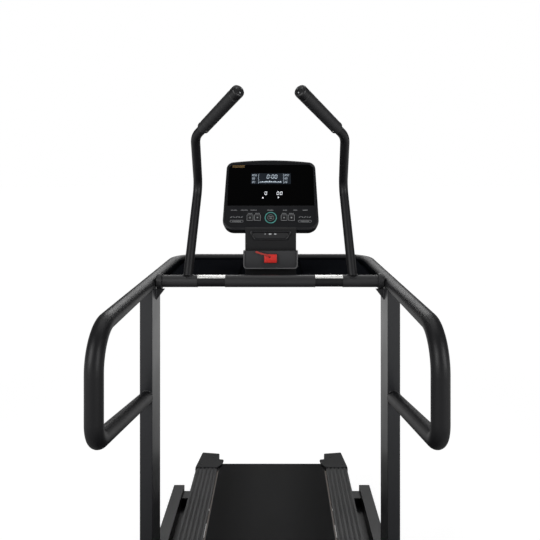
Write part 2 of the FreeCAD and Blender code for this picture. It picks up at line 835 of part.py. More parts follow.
def console_block(inset, start, length):
    """A slice of the console's outline, between two depths behind its face."""
    body = slab("XY_Plane", console_outline(inset), start, length, {2: console_arch})
    low_corner = CORNER_LOW - float(inset)
    top_corner = CORNER_TOP - float(inset)
    half = float(console_tall) / 2
    upright_edge = runs_along(Z_AXIS)
    round_edges(body, low_corner,
                lambda edge: upright_edge(edge) and edge.Vertexes[0].Point.y < half)
    round_edges(body, top_corner,
                lambda edge: upright_edge(edge) and edge.Vertexes[0].Point.y > half + top_corner)
    return body


def console_back():
    """Rear shell of the console, open towards the bezel, with a slot for the neck."""
    outer = console_block(0.0, -console_depth, console_depth - BEZEL_DEEP)
    inner = console_block(console_wall, console_wall - console_depth, console_depth)
    half = MAST_HALF + MAST_ROOM
    slot = slab("XY_Plane", rectangle(-half, half, -10, NECK_SLOT), -console_depth - 1,
                console_depth - BEZEL_DEEP - 8)
    return onto_face(cut(outer, inner, slot))


def console_bezel():
    """Front moulding with a ledged opening for the lens and the key pockets."""
    outer = console_block(0.0, -BEZEL_DEEP, BEZEL_DEEP)
    inner = console_block(console_wall, -BEZEL_DEEP - 1, BEZEL_DEEP + 1 - BEZEL_FRONT)
    rebate = slab("XY_Plane", rectangle(-LENS_HALF, LENS_HALF, LENS_LOW, LENS_HIGH),
                  -LENS_DEEP, LENS_DEEP + 1)
    window = slab("XY_Plane", rectangle(LENS_LEDGE - LENS_HALF, LENS_HALF - LENS_LEDGE,
                                        LENS_LOW + LENS_LEDGE, LENS_HIGH - LENS_LEDGE),
                  -BEZEL_DEEP, BEZEL_DEEP)
    deep = -BEZEL_DEEP - 1
    through = BEZEL_DEEP + 2
    holes = [rod(START_RADIUS + KEY_GAP, through, (0, KEY_ROW, deep), "Z")]
    side = KEY_SIDE + 2 * KEY_GAP
    for across in KEY_SPOTS.values():
        holes.append(box((side, side, through), (across - side / 2, KEY_ROW - side / 2, deep)))
    return onto_face(cut(outer, inner, rebate, window, *holes))


def console_glass():
    """Smoked lens that lies on the window's ledge, just below the bezel's face."""
    half = LENS_HALF - LENS_GAP
    outline = rectangle(-half, half, LENS_LOW + LENS_GAP, LENS_HIGH - LENS_GAP)
    return onto_face(slab("XY_Plane", outline, -LENS_DEEP, LENS_DEEP - LENS_SINK))


def console_display():
    """Display window and digits on a circuit board, on four posts from the rear shell."""
    board = slab("XY_Plane", rectangle(-BOARD_HALF, BOARD_HALF, BOARD_LOW, BOARD_TOP), -BOARD_BACK, 2)
    screen = slab("XY_Plane", rectangle(-84, 84, 200, 260), -BOARD_BACK + 2, 20)
    digits = slab("XY_Plane", rectangle(-60, 60, 128, 178), -BOARD_BACK + 2, 20)
    shell = console_depth - console_wall
    posts = [rod(5, shell - BOARD_BACK, (across, up, -shell), "Z") for across, up in POST_SPOTS]
    return onto_face(fuse(board, screen, digits, *posts))


def square_key(across):
    """A short-travel square key that stands just proud of the bezel."""
    half = KEY_SIDE / 2
    outline = rectangle(across - half, across + half, KEY_ROW - half, KEY_ROW + half)
    return onto_face(slab("XY_Plane", outline, -KEY_SINK, KEY_SINK + KEY_RISE))


def start_key():
    """Large round start key."""
    body = new_body()
    sketch = new_sketch(body, "XY_Plane", -KEY_SINK)
    draw_circle(sketch, START_RADIUS, 0, KEY_ROW)
    pad(body, sketch, KEY_SINK + KEY_RISE)
    return onto_face(body)


node("console_back", console_back())
node("console_bezel", console_bezel())
node("console_glass", console_glass())
node("console_display", console_display())
node("key_start", start_key())
for name, across in KEY_SPOTS.items():
    node(name, square_key(across))


# ---------------------------------------------------------------- neck, key shelf and safety key

POST_WALL = 3
POST_TOP = 1320
HEAD_FRONT = 36
HEAD_TALL = 128
BRACE_DEEP = 30
COVER_WALL = 3
SHELF_LOW = 1217
SHELF_TOP = 1288
SHELF_BACK = 290
SHELF_FACE = 258
SHELF_RIM = 6
SHELF_CORNER = 14
KEY_TALL = 33
KEY_DEEP = 15
KEY_MIDDLE = 1259
KEY_STEM = 20
KEY_STEM_TALL = 10
KEY_STEM_LONG = 9
SOCKET_GAP = 0.3
TAIL_LONG = 34
TAIL_THICK = 3

key_back = SHELF_FACE + SHELF_RIM
head_back = console_depth - console_wall


def neck_mast():
    """Steel post on a beam that runs back from the front crossbar; its head fills the console."""
    post = slab("YZ_Plane",
                [(MAST_BACK, TRAY_LOW), (MAST_BACK + MAST_DEEP, TRAY_LOW), (MAST_BACK + MAST_DEEP, POST_TOP),
                 on_console(NECK_SLOT - 2, -head_back), on_console(HEAD_TALL, -head_back),
                 on_console(HEAD_TALL, -HEAD_FRONT), on_console(10, -HEAD_FRONT), (MAST_BACK, POST_TOP)],
                -MAST_HALF, 2 * MAST_HALF)
    core = box((2 * (MAST_HALF - POST_WALL), MAST_DEEP - 2 * POST_WALL, POST_TOP - TRAY_LOW),
               (POST_WALL - MAST_HALF, MAST_BACK + POST_WALL, TRAY_LOW + 2))
    brace_long = crossbar_front - MAST_BACK + BRACE_DEEP / 2
    brace = box((2 * MAST_HALF, brace_long, rail_height - TRAY_LOW + BRACE_DEEP),
                (-MAST_HALF, MAST_BACK, TRAY_LOW - BRACE_DEEP))
    above = box((4 * MAST_HALF, tray_front - MAST_BACK + 1, rail_height),
                (-2 * MAST_HALF, MAST_BACK - 1, TRAY_LOW))
    rail_cope = rod(rail_radius, 4 * MAST_HALF, (-2 * MAST_HALF, crossbar_front, rail_height))
    return fuse(cut(post, core), cut(brace, above, rail_cope))


def neck_cover():
    """Moulded cover round the post, from the tray's floor up to the console it is trimmed to."""
    floor_top = TRAY_FLOOR + TRAY_WALL
    wall = COVER_WALL
    side = [(SHELF_BACK, floor_top), (376, floor_top), (394, 1290),
            (console_place + 116, console_height + 29), (console_place + 96, console_height + 70),
            (SHELF_BACK + 2, console_height + 6)]
    core = [(SHELF_BACK + wall, floor_top - 1), (376 - wall, floor_top - 1), (394 - wall, 1290),
            (console_place + 112.5, console_height + 28), (console_place + 94, console_height + 64),
            (SHELF_BACK + 2 + wall, console_height + 7)]
    outer = slab("YZ_Plane", side, -neck_width / 2, neck_width)
    inner = slab("YZ_Plane", core, wall - neck_width / 2, neck_width - 2 * wall)
    console_room = onto_face(console_block(0.0, -console_depth, console_depth))
    return cut(outer, inner, console_room)


def key_shelf():
    """Upright shelf with a raised rim, and the socket for the safety key."""
    half = shelf_width / 2
    upright_wall = SHELF_BACK - SHELF_FACE
    block = slab("XZ_Plane", rectangle(-half, half, SHELF_LOW, SHELF_TOP), -SHELF_BACK, upright_wall)
    recess = slab("XZ_Plane", rectangle(SHELF_RIM - half, half - SHELF_RIM, SHELF_LOW + SHELF_RIM,
                                        SHELF_TOP + 2 * SHELF_CORNER), -key_back, 2 * SHELF_RIM)
    middle = (SHELF_LOW + SHELF_TOP) / 2
    runs_back = runs_along(Y_AXIS)
    round_edges(block, SHELF_CORNER,
                lambda edge: runs_back(edge) and edge.Vertexes[0].Point.z < middle)
    round_edges(recess, SHELF_CORNER - SHELF_RIM,
                lambda edge: runs_back(edge) and edge.Vertexes[0].Point.z < middle)
    socket = box((KEY_STEM + 2 * SOCKET_GAP, KEY_STEM_LONG + SOCKET_GAP + 1, KEY_STEM_TALL + 2 * SOCKET_GAP),
                 (-KEY_STEM / 2 - SOCKET_GAP, key_back - 1, KEY_MIDDLE - KEY_STEM_TALL / 2 - SOCKET_GAP))
    return cut(block, recess, socket)


def safety_key():
    """Pull-out safety key: a block with a stem, and a moulded pull strap at its upper corner."""
    edge = -key_width / 2
    head = box((key_width, KEY_DEEP, KEY_TALL), (edge, key_back - KEY_DEEP, KEY_MIDDLE - KEY_TALL / 2))
    stem = box((KEY_STEM, KEY_STEM_LONG + 1, KEY_STEM_TALL),
               (-KEY_STEM / 2, key_back - 1, KEY_MIDDLE - KEY_STEM_TALL / 2))
    strap = slab("XZ_Plane",
                 [(edge + 8, KEY_MIDDLE + 14), (edge + 4, KEY_MIDDLE + 22),
                  (edge - TAIL_LONG, KEY_MIDDLE + 30), (edge - TAIL_LONG - 1, KEY_MIDDLE + 22)],
                 KEY_DEEP - 4 - key_back, TAIL_THICK)
    return fuse(head, stem, strap)


node("neck_mast", neck_mast())
node("neck_cover", neck_cover())
node("key_shelf", key_shelf())
node("safety_key", safety_key())


# ---------------------------------------------------------------- deck frame

BEAM_END = 24
LUG_INNER = 292
LUG_THICK = 10
LUG_HALF = 22
LUG_BELOW = 16
LIFT_PIN = 10
CROSS_PLACES = (-560, -190, 180, 520)
CROSS_DEEP = 40
CROSS_TALL = 30
CROSS_WALL = 3
HANGER_PLACE = 440
HANGER_PLATE = 6
HANGER_HALF = 20
HANGER_PIN = 5
ACTUATOR_HEIGHT = 42
CARRIER_PLACE = 735
CARRIER_THICK = 3.5
CARRIER_LEFT = 215
CARRIER_WIDE = 220

board_top = axle_height + roller_dia / 2 + roller_gap
board_low = board_top - board_thick
cushion_low = board_low - cushion_thick
upper_cross_low = cushion_low - CROSS_TALL
lower_cross_low = belt_low - belt_room - CROSS_TALL
motor_height = lower_cross_low + CROSS_TALL - motor_dia / 2
beam_reach = deck_length / 2 - BEAM_END


def lug(where, height, bore):
    """Plate that hangs from a deck beam and carries a pivot."""
    plate = box((LUG_THICK, 2 * LUG_HALF, beam_low - height + LUG_BELOW),
                (LUG_INNER, where - LUG_HALF, height - LUG_BELOW))
    hole = rod(bore, LUG_THICK + 2, (LUG_INNER - 1, where, height))
    return cut(plate, hole)


def deck_beam():
    """Side tube of the deck, bored for the roller axles, with its two lugs."""
    outer = box((beam_width, 2 * beam_reach, beam_height), (beam_inner, -beam_reach, beam_low))
    inner = box((beam_width - 2 * steel_wall, 2 * beam_reach + 2, beam_height - 2 * steel_wall),
                (beam_inner + steel_wall, -beam_reach - 1, beam_low + steel_wall))
    holes = [rod(axle_dia / 2, beam_width + 2, (beam_inner - 1, where, axle_height))
             for where in (front_axle, rear_axle)]
    rear_lug = lug(pivot_place, pivot_height, pivot_dia / 2)
    lift_lug = lug(lift_place, lift_height, LIFT_PIN + running_gap)
    return fuse(cut(outer, inner, *holes), rear_lug, lift_lug)


def deck_cross(middle, low):
    """One tube across the deck frame."""
    outer = box((2 * beam_inner, CROSS_DEEP, CROSS_TALL), (-beam_inner, middle - CROSS_DEEP / 2, low))
    inner = box((2 * beam_inner + 2, CROSS_DEEP - 2 * CROSS_WALL, CROSS_TALL - 2 * CROSS_WALL),
                (-beam_inner - 1, middle - CROSS_DEEP / 2 + CROSS_WALL, low + CROSS_WALL))
    return cut(outer, inner)


def hanger():
    """Tube across the deck with the plates and pin that hold the back of the lift actuator."""
    tube = deck_cross(HANGER_PLACE, lower_cross_low)
    low = ACTUATOR_HEIGHT - 14
    plates = [box((HANGER_PLATE, 2 * HANGER_HALF, lower_cross_low - low + 2),
                  (across, HANGER_PLACE - HANGER_HALF, low))
              for across in (-HANGER_HALF, HANGER_HALF - HANGER_PLATE)]
    pin = rod(HANGER_PIN, 50, (-25, HANGER_PLACE - 8, ACTUATOR_HEIGHT))
    return fuse(tube, *plates, pin)


def motor_carrier():
    """Front tube with the plate that the drive motor is bolted under."""
    tube = deck_cross(CARRIER_PLACE, lower_cross_low)
    plate = box((CARRIER_WIDE, CARRIER_PLACE - HANGER_PLACE, CARRIER_THICK),
                (-CARRIER_LEFT, HANGER_PLACE, lower_cross_low + CROSS_TALL))
    return fuse(tube, plate)


def deck_crossmembers():
    """Four tubes under the running board, and the lower pair that hold the motor and the lift."""
    uppers = [deck_cross(middle, upper_cross_low) for middle in CROSS_PLACES]
    return group(*uppers, fuse(hanger(), motor_carrier()))


right_beam = deck_beam()
node("deck_beams", group(right_beam, mirror(right_beam)))
node("deck_crossmembers", deck_crossmembers())


CUSHION_RADIUS = 17
CUSHION_PLACE = 215


def deck_board():
    """Running board under the belt."""
    back = rear_axle + roller_dia / 2 + 12
    front = front_axle - roller_dia / 2 - 10
    half = belt_width / 2 + 7
    return slab("XY_Plane", rectangle(-half, half, back, front), board_low, board_thick)


def deck_cushions():
    """Rubber mounts between the board and the cross tubes."""
    return group(*[rod(CUSHION_RADIUS, cushion_thick, (side * CUSHION_PLACE, middle, cushion_low), "Z")
                   for middle in CROSS_PLACES for side in (-1, 1)])


def stadium(radius, width, start):
    """The space inside a belt of one radius that runs between the two roller axles."""
    front = rod(radius, width, (start, front_axle, axle_height))
    rear = rod(radius, width, (start, rear_axle, axle_height))
    middle = box((width, front_axle - rear_axle, 2 * radius), (start, rear_axle, axle_height - radius))
    return fuse(front, rear, middle)


def running_belt():
    """Endless belt round both rollers."""
    inside = roller_dia / 2 + roller_gap
    outer = stadium(inside + belt_thick, belt_width, -belt_width / 2)
    inner = stadium(inside, belt_width + 2, -belt_width / 2 - 1)
    return cut(outer, inner)


node("deck_board", deck_board())
node("deck_cushions", deck_cushions())
node("running_belt", running_belt())


# ---------------------------------------------------------------- foot rails and end caps

SKIRT_THICK = 8
TOP_THICK = 6
RIB_COUNT = 5
RIB_WIDE = 9
RIB_TALL = 2.5
RIB_PITCH = 18
FOOT_BACK = -690
WEB_INNER = 295
WEB_THICK = 8
CAP_STEP = 5
CAP_OUT = 4
CAP_SKIRT = 12
CAP_INSIDE = 6
BELT_CLEAR = 1.2


def foot_rail():
    """Ribbed foot rail: a top plate, a web down to the beam, an outer skirt and tread ribs."""
    flat_low = foot_top - TOP_THICK
    web_outer = WEB_INNER + WEB_THICK
    section = [(rail_inner, flat_low), (WEB_INNER, flat_low), (WEB_INNER, beam_top),
               (web_outer, beam_top), (web_outer, flat_low), (deck_half - SKIRT_THICK, flat_low),
               (deck_half - SKIRT_THICK, beam_low), (deck_half, beam_low),
               (deck_half, foot_top), (rail_inner, foot_top)]
    body = slab("XZ_Plane", section, -foot_front, foot_front - FOOT_BACK)
    rib = new_sketch(body, "XZ_Plane", -foot_front)
    rib_start = rail_inner + 8
    draw_outline(rib, rectangle(rib_start, rib_start + RIB_WIDE, foot_top - 1, foot_top + RIB_TALL))
    first = pad(body, rib, foot_front - FOOT_BACK)
    doc.recompute()
    row = body.newObject("PartDesign::LinearPattern", "Ribs")
    row.Originals = [first]
    row.Direction = (rib, ["H_Axis"])
    row.Length = RIB_PITCH * (RIB_COUNT - 1)
    row.Occurrences = RIB_COUNT
    body.Tip = row
    return body


def end_cap(outline, low):
    """Moulded cap over the end of a foot rail."""
    body = slab("XY_Plane", outline, low, foot_top + CAP_STEP - low)
    edges_up = runs_along(Z_AXIS)
    round_edges(body, 5, edges_up)
    top = float(foot_top) + CAP_STEP
    return round_edges(body, 3, lambda edge: all(abs(v.Point.z - top) < 1e-6 for v in edge.Vertexes))


def front_cap():
    """Front corner cap, stepped inward over the edge of the belt, with an outer skirt."""
    wide = deck_half + CAP_OUT
    tip = deck_length / 2
    outline = [(wide, foot_front), (wide - 16, tip), (rail_inner + 2, tip - 12),
               (rail_inner - 3, front_axle + 37), (rail_inner - 24, front_axle + 33),
               (rail_inner - 20, foot_front + 30), (rail_inner, foot_front)]
    cover = end_cap(outline, foot_top - TOP_THICK)
    belt_room = box((rail_inner - 1, front_axle + 36 - foot_front, belt_top + BELT_CLEAR - beam_top),
                    (0, foot_front, beam_top))
    skirt = slab("XY_Plane", [(wide, foot_front), (wide - 16, tip), (wide - 24, tip - 1),
                              (wide - CAP_SKIRT, foot_front)], beam_low, foot_top - beam_low - 2)
    return fuse(cut(cover, belt_room), skirt)


def rear_cap():
    """Rear corner cap: a cover plate with an outer skirt and an end wall."""
    wide = deck_half + CAP_OUT
    tail = -deck_length / 2
    inside = rail_inner - CAP_INSIDE
    outline = [(inside, FOOT_BACK), (inside, tail + 10), (wide - 20, tail), (wide, tail + 24),
               (wide, FOOT_BACK)]
    cover = end_cap(outline, foot_top - TOP_THICK)
    tall = foot_top - beam_low - 2
    skirt = slab("XY_Plane", rectangle(wide - CAP_SKIRT, wide, tail + 26, FOOT_BACK), beam_low, tall)
    wall = slab("XY_Plane", rectangle(rail_inner, wide - 22, tail + 12, tail + 20), beam_low, tall)
    return fuse(cover, skirt, wall)


pair("foot_rail", foot_rail())
front_cap_right = front_cap()
node("front_caps", group(front_cap_right, mirror(front_cap_right)))
rear_cap_right = rear_cap()
node("rear_caps", group(rear_cap_right, mirror(rear_cap_right)))


# ---------------------------------------------------------------- rollers and drive

PULLEY_WIDE = 20
PULLEY_OUT = -251
ROLLER_OVER = 4
ROLLER_HUB = 18
BORE_REACH = 300
AXLE_PAST = 4
MOTOR_LEFT = -237
MOTOR_LONG = 235
BELL_LONG = 12
BELL_STEP = 5
SHAFT_RADIUS = 8
SHAFT_LONG = 306
FLYWHEEL_RADIUS = 50
FLYWHEEL_WIDE = 26
FLYWHEEL_GAP = 7
BELT_GAP = 0.3
BELT_THICK = 3.5
BELT_INSET = 2
PAN_GAP = 8
PAN_THICK = 3


def roller(where):
    """Roller tube, a little wider than the belt, and the bore for its fixed axle."""
    barrel = rod(roller_dia / 2, belt_width + 2 * ROLLER_OVER,
                 (-belt_width / 2 - ROLLER_OVER, where, axle_height))
    bore = rod(axle_dia / 2 + running_gap, 2 * BORE_REACH, (-BORE_REACH, where, axle_height))
    return barrel, bore


def front_roller():
    """Drive roller with the pulley on its left end."""
    barrel, bore = roller(front_axle)
    left = PULLEY_OUT - PULLEY_WIDE
    pulley = rod(roller_pulley_dia / 2, PULLEY_WIDE, (left, front_axle, axle_height))
    hub = rod(ROLLER_HUB, 2 * ROLLER_OVER + 2, (PULLEY_OUT - 2, front_axle, axle_height))
    return cut(fuse(barrel, pulley, hub), bore)


def rear_roller():
    """Tension roller at the tail of the deck."""
    return cut(*roller(rear_axle))


def deck_axles():
    """The two fixed roller axles and the deck's pivot axle."""
    reach = beam_inner + beam_width
    front = rod(axle_dia / 2, 2 * reach, (-reach, front_axle, axle_height))
    rear = rod(axle_dia / 2, 2 * reach, (-reach, rear_axle, axle_height))
    pivot_reach = BRACKET_INNER + BRACKET_THICK + AXLE_PAST
    pivot = rod(pivot_dia / 2, 2 * pivot_reach, (-pivot_reach, pivot_place, pivot_height))
    return group(front, rear, pivot)


def drive_motor():
    """Motor barrel with its two end bells, bored for the shaft."""
    at = (MOTOR_LEFT, motor_place, motor_height)
    barrel = rod(motor_dia / 2, MOTOR_LONG - 2 * BELL_LONG,
                 (MOTOR_LEFT + BELL_LONG, motor_place, motor_height))
    bells = rod(motor_dia / 2 - BELL_STEP, MOTOR_LONG, at)
    bore = rod(SHAFT_RADIUS + running_gap, MOTOR_LONG + 2,
               (MOTOR_LEFT - 1, motor_place, motor_height))
    return cut(fuse(barrel, bells), bore)


def motor_pulley():
    """Motor shaft with the small pulley on the left and the flywheel on the right."""
    left = PULLEY_OUT - PULLEY_WIDE
    shaft = rod(SHAFT_RADIUS, SHAFT_LONG, (left, motor_place, motor_height))
    pulley = rod(motor_pulley_dia / 2, PULLEY_WIDE, (left, motor_place, motor_height))
    flywheel = rod(FLYWHEEL_RADIUS, FLYWHEEL_WIDE,
                   (MOTOR_LEFT + MOTOR_LONG + FLYWHEEL_GAP, motor_place, motor_height))
    return fuse(shaft, pulley, flywheel)


def drive_belt():
    """Ribbed drive belt round the two pulleys."""
    inside = doc.addObject("Part::Feature", "DriveBelt")
    centre_small = Vector(0, float(motor_place), float(motor_height))
    centre_large = Vector(0, float(front_axle), float(axle_height))
    small = float(motor_pulley_dia) / 2 + BELT_GAP
    large = float(roller_pulley_dia) / 2 + BELT_GAP
    loops = [belt_face(centre_small, small + grow, centre_large, large + grow)
             for grow in (BELT_THICK, 0)]
    ring = loops[0].cut(loops[1]).extrude(Vector(PULLEY_WIDE - 2 * BELT_INSET, 0, 0))
    ring.translate(Vector(PULLEY_OUT - PULLEY_WIDE + BELT_INSET, 0, 0))
    inside.Shape = ring
    return inside


def belt_face(centre_a, radius_a, centre_b, radius_b):
    """The flat area inside an open belt round two pulleys."""
    between = centre_b - centre_a
    span = between.Length
    along = Vector(between).normalize()
    sideways = along.cross(X_AXIS).normalize()
    lean = math.asin((radius_b - radius_a) / span)
    points = {}
    for side in (-1, 1):
        normal = sideways * (side * math.cos(lean)) - along * math.sin(lean)
        points[side] = (centre_a + normal * radius_a, centre_b + normal * radius_b)
    far_a = centre_a - along * radius_a
    far_b = centre_b + along * radius_b
    wire = Part.Wire([Part.LineSegment(points[-1][0], points[-1][1]).toShape(),
                      Part.Arc(points[-1][1], far_b, points[1][1]).toShape(),
                      Part.LineSegment(points[1][1], points[1][0]).toShape(),
                      Part.Arc(points[1][0], far_a, points[-1][0]).toShape()])
    return Part.Face(wire)


def motor_cover():
    """Belly pan and nose: one bent sheet under the motor and round the front of the deck."""
    nose = deck_length / 2 - 2
    pan = motor_height - motor_dia / 2 - PAN_GAP
    under = lower_cross_low - 4
    side = [(486, under + 6), (486, pan), (634, pan), (692, under - 30), (nose, under), (nose, 163),
            (nose - 26, 175), (nose - 27, 172), (nose - 3, 161), (nose - 3, under + 2),
            (690, under - 27), (633, pan + PAN_THICK),
            (489, pan + PAN_THICK), (489, under + 6)]
    return slab("YZ_Plane", side, -beam_inner, 2 * beam_inner)


node("front_roller", front_roller())
node("rear_roller", rear_roller())
node("deck_axles", deck_axles())
node("drive_motor", drive_motor())
node("motor_pulley", motor_pulley())
node("drive_belt", drive_belt())
node("motor_cover", motor_cover())


# ---------------------------------------------------------------- lift

ARM_INNER = 305
ARM_THICK = 22
ARM_DEEP = 34
ARM_END = 19
WHEEL_WIDE = 22
WHEEL_AXLE = 8
LIFT_TUBE = 18
EYE_SLACK = 3.6
TRACK_SLACK = 0.3

track_top = foot_gap + track_thick
wheel_height = track_top + lift_wheel_dia / 2 + TRACK_SLACK
arm_fall = float(lift_height - wheel_height)
arm_lean = math.degrees(math.asin(arm_fall / float(lift_length)))
wheel_place = float(lift_place) + float(lift_length) * math.cos(math.radians(arm_lean))


def lift_arm():
    """Flat-sided arm from the lift pivot to the wheel."""
    bar = box((ARM_THICK, lift_length, ARM_DEEP), (ARM_INNER, 0, -ARM_DEEP / 2))
    bar.Placement = Placement(Vector(ARM_INNER, float(lift_place), float(lift_height)),
                              Rotation(X_AXIS, -arm_lean)).multiply(
                                  Placement(Vector(0, 0, -ARM_DEEP / 2), Rotation()))
    for letter in "xyz":
        bar.setExpression("Placement.Base." + letter, None)
    near = rod(ARM_END, ARM_THICK, (ARM_INNER, lift_place, lift_height))
    far = rod(ARM_END, ARM_THICK, (ARM_INNER, wheel_place, wheel_height))
    stub = rod(WHEEL_AXLE, ARM_THICK + WHEEL_WIDE + 8, (ARM_INNER, wheel_place, wheel_height))
    return fuse(bar, near, far, stub)


def lever_plate(across):
    """One plate of the lever that the actuator pushes."""
    turn = math.radians(float(lever_angle))
    pin = (math.sin(turn) * float(lever_length), -math.cos(turn) * float(lever_length))
    tip = (lift_place + pin[0], lift_height + pin[1])
    plate = slab("YZ_Plane", [(lift_place - 14, lift_height), (tip[0] - 10, tip[1]),
                              (tip[0] + 10, tip[1]), (lift_place + 16, lift_height)],
                 across, 6)
    tip = rod(11, 6, (across, lift_place + pin[0], lift_height + pin[1]))
    return fuse(plate, tip)


def lift_frame():
    """Cross tube on two pivot pins, with an arm at each end and the lever in the middle."""
    turn = math.radians(float(lever_angle))
    pin_y = lift_place + math.sin(turn) * float(lever_length)
    pin_z = lift_height - math.cos(turn) * float(lever_length)
    tube = rod(LIFT_TUBE, 2 * (LUG_INNER - 1), (1 - LUG_INNER, lift_place, lift_height))
    pivot = rod(LIFT_PIN, 2 * ARM_INNER + 2, (-ARM_INNER - 1, lift_place, lift_height))
    arm = lift_arm()
    lever_pin = rod(6, 36, (-18, pin_y, pin_z))
    return fuse(tube, pivot, arm, mirror(arm), lever_plate(12), lever_plate(-18), lever_pin)


def lift_wheel():
    """Wheel that runs on the stub at the arm's end."""
    start = ARM_INNER + ARM_THICK + 3
    disc = rod(lift_wheel_dia / 2, WHEEL_WIDE, (start, wheel_place, wheel_height))
    bore = rod(WHEEL_AXLE + running_gap, WHEEL_WIDE + 2, (start - 1, wheel_place, wheel_height))
    return cut(disc, bore)


ROD_END = 10
EYE_RADIUS = 15
HOUSING_RADIUS = 19
HOUSING_BACK = 160


def lever_pin_place():
    turn = math.radians(float(lever_angle))
    return float(lift_place) + math.sin(turn) * float(lever_length)


def actuator_body():
    """Screw housing and gearbox of the lift actuator, open for its rod."""
    back = HANGER_PLACE - 8
    housing = rod(HOUSING_RADIUS, back - 60 - HOUSING_BACK, (0, HOUSING_BACK, ACTUATOR_HEIGHT), "Y")
    gearbox = box((28, 60, 52), (-14, back - 62, ACTUATOR_HEIGHT - 18))
    motor = rod(22, 96, (-14, back - 40, ACTUATOR_HEIGHT + 8), "X")
    eye = box((26, 30, 20), (-13, back - 20, ACTUATOR_HEIGHT - 10))
    bore = rod(ROD_END + running_gap, 165, (0, HOUSING_BACK - 1, ACTUATOR_HEIGHT), "Y")
    bolt_hole = rod(HANGER_PIN, 60, (-30, back, ACTUATOR_HEIGHT))
    return cut(fuse(housing, gearbox, motor, eye), bore, bolt_hole)


def actuator_rod():
    """Lift screw's sliding rod, with a wide eye round the lever's pin."""
    pin = lever_pin_place()
    start = pin + EYE_RADIUS - 3
    bar = rod(ROD_END, 318 - start, (0, start, ACTUATOR_HEIGHT), "Y")
    eye = rod(EYE_RADIUS, 22, (-11, pin, ACTUATOR_HEIGHT))
    hole = rod(6 + EYE_SLACK, 24, (-12, pin, ACTUATOR_HEIGHT))
    return cut(fuse(bar, eye), hole)


node("lift_frame", lift_frame())
lift_wheel_right = lift_wheel()
node("lift_wheels", group(lift_wheel_right, mirror(lift_wheel_right)))
node("actuator_body", actuator_body())
node("actuator_rod", actuator_rod())


# ---------------------------------------------------------------- mains inlet, switch and bolts

INLET_LEFT = -300
INLET_WIDE = 84
INLET_DEEP = 26
INLET_TALL = 40
SWITCH_WIDE = 18
SWITCH_IN = 53


def power_inlet():
    """Small mains box on the front cross tube, with an inlet socket and a switch opening."""
    back = front_cross + cross_depth / 2
    case = box((INLET_WIDE, INLET_DEEP, INLET_TALL), (INLET_LEFT, back, foot_gap + 6))
    socket = box((27, 20, 20), (INLET_LEFT + 10, back + 8, foot_gap + 16))
    opening = box((SWITCH_WIDE + 1, 20, 25), (INLET_LEFT + SWITCH_IN - 0.5, back + 8, foot_gap + 13.5))
    return cut(case, socket, opening)


def power_switch():
    """Rocker that tips about a line across its middle."""
    face = front_cross + cross_depth / 2 + INLET_DEEP
    middle = foot_gap + 6 + INLET_TALL / 2
    side = [(face - 7, middle - 11.5), (face + 2.5, middle - 11), (face + 0.6, middle),
            (face + 2.5, middle + 11), (face - 7, middle + 11.5)]
    return slab("YZ_Plane", side, INLET_LEFT + SWITCH_IN, SWITCH_WIDE)


def frame_bolts():
    """Bolts that hold the uprights' flanges to the floor rails."""
    bolts = []
    for side in (-1, 1):
        for where in bolt_places:
            shank = rod(BOLT_RADIUS, FLANGE_THICK + 14, (side * rail_x, where, base_top - 6), "Z")
            head = rod(BOLT_HEAD, 7, (side * rail_x, where, base_top + FLANGE_THICK), "Z")
            bolts.append(fuse(shank, head))
    return group(*bolts)


node("power_inlet", power_inlet())
node("power_switch", power_switch())
node("frame_bolts", frame_bolts())


# ---------------------------------------------------------------- check and write

doc.recompute()
failed = [thing.Name for thing in doc.Objects if "Invalid" in thing.State or "Error" in thing.State]
if failed:
    raise SystemExit("objects that failed: " + ", ".join(failed))
for label, thing in nodes.items():
    shape = thing.Shape
    if shape.isNull() or not shape.isValid() or not shape.Solids:
        raise SystemExit("bad shape: " + label)
for label, thing in nodes.items():
    thing.Shape.exportStep("parts/" + label + ".step")
print(len(nodes), "sub-parts written")
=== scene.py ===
import json
import math

import bmesh
import bpy
from mathutils import Matrix, Vector


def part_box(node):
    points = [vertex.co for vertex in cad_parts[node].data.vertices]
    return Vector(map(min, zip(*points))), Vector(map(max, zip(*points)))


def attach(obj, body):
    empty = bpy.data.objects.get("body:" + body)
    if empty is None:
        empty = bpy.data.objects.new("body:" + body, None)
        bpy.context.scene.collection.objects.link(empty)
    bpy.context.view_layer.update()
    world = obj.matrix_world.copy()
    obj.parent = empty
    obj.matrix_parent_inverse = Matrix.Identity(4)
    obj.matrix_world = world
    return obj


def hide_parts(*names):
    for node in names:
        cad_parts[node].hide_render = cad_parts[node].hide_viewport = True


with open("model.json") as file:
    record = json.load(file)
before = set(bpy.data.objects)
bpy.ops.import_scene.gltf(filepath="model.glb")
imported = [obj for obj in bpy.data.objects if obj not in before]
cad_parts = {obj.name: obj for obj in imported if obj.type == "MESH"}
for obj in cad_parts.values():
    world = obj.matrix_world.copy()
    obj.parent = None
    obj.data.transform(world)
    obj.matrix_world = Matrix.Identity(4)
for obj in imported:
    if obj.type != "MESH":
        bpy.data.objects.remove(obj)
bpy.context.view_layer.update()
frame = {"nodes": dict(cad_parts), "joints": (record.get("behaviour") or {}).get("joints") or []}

cad = frame["nodes"]
press = {joint["name"]: Vector(joint["axis"]) for joint in frame["joints"]}


# ---- Floor frame
# Two rectangular steel floor tubes joined by a cross tube at each end, all welded and
# powder coated together in one satin charcoal. The tube ends are closed by ribbed
# plastic plugs that are knocked in with a mallet.

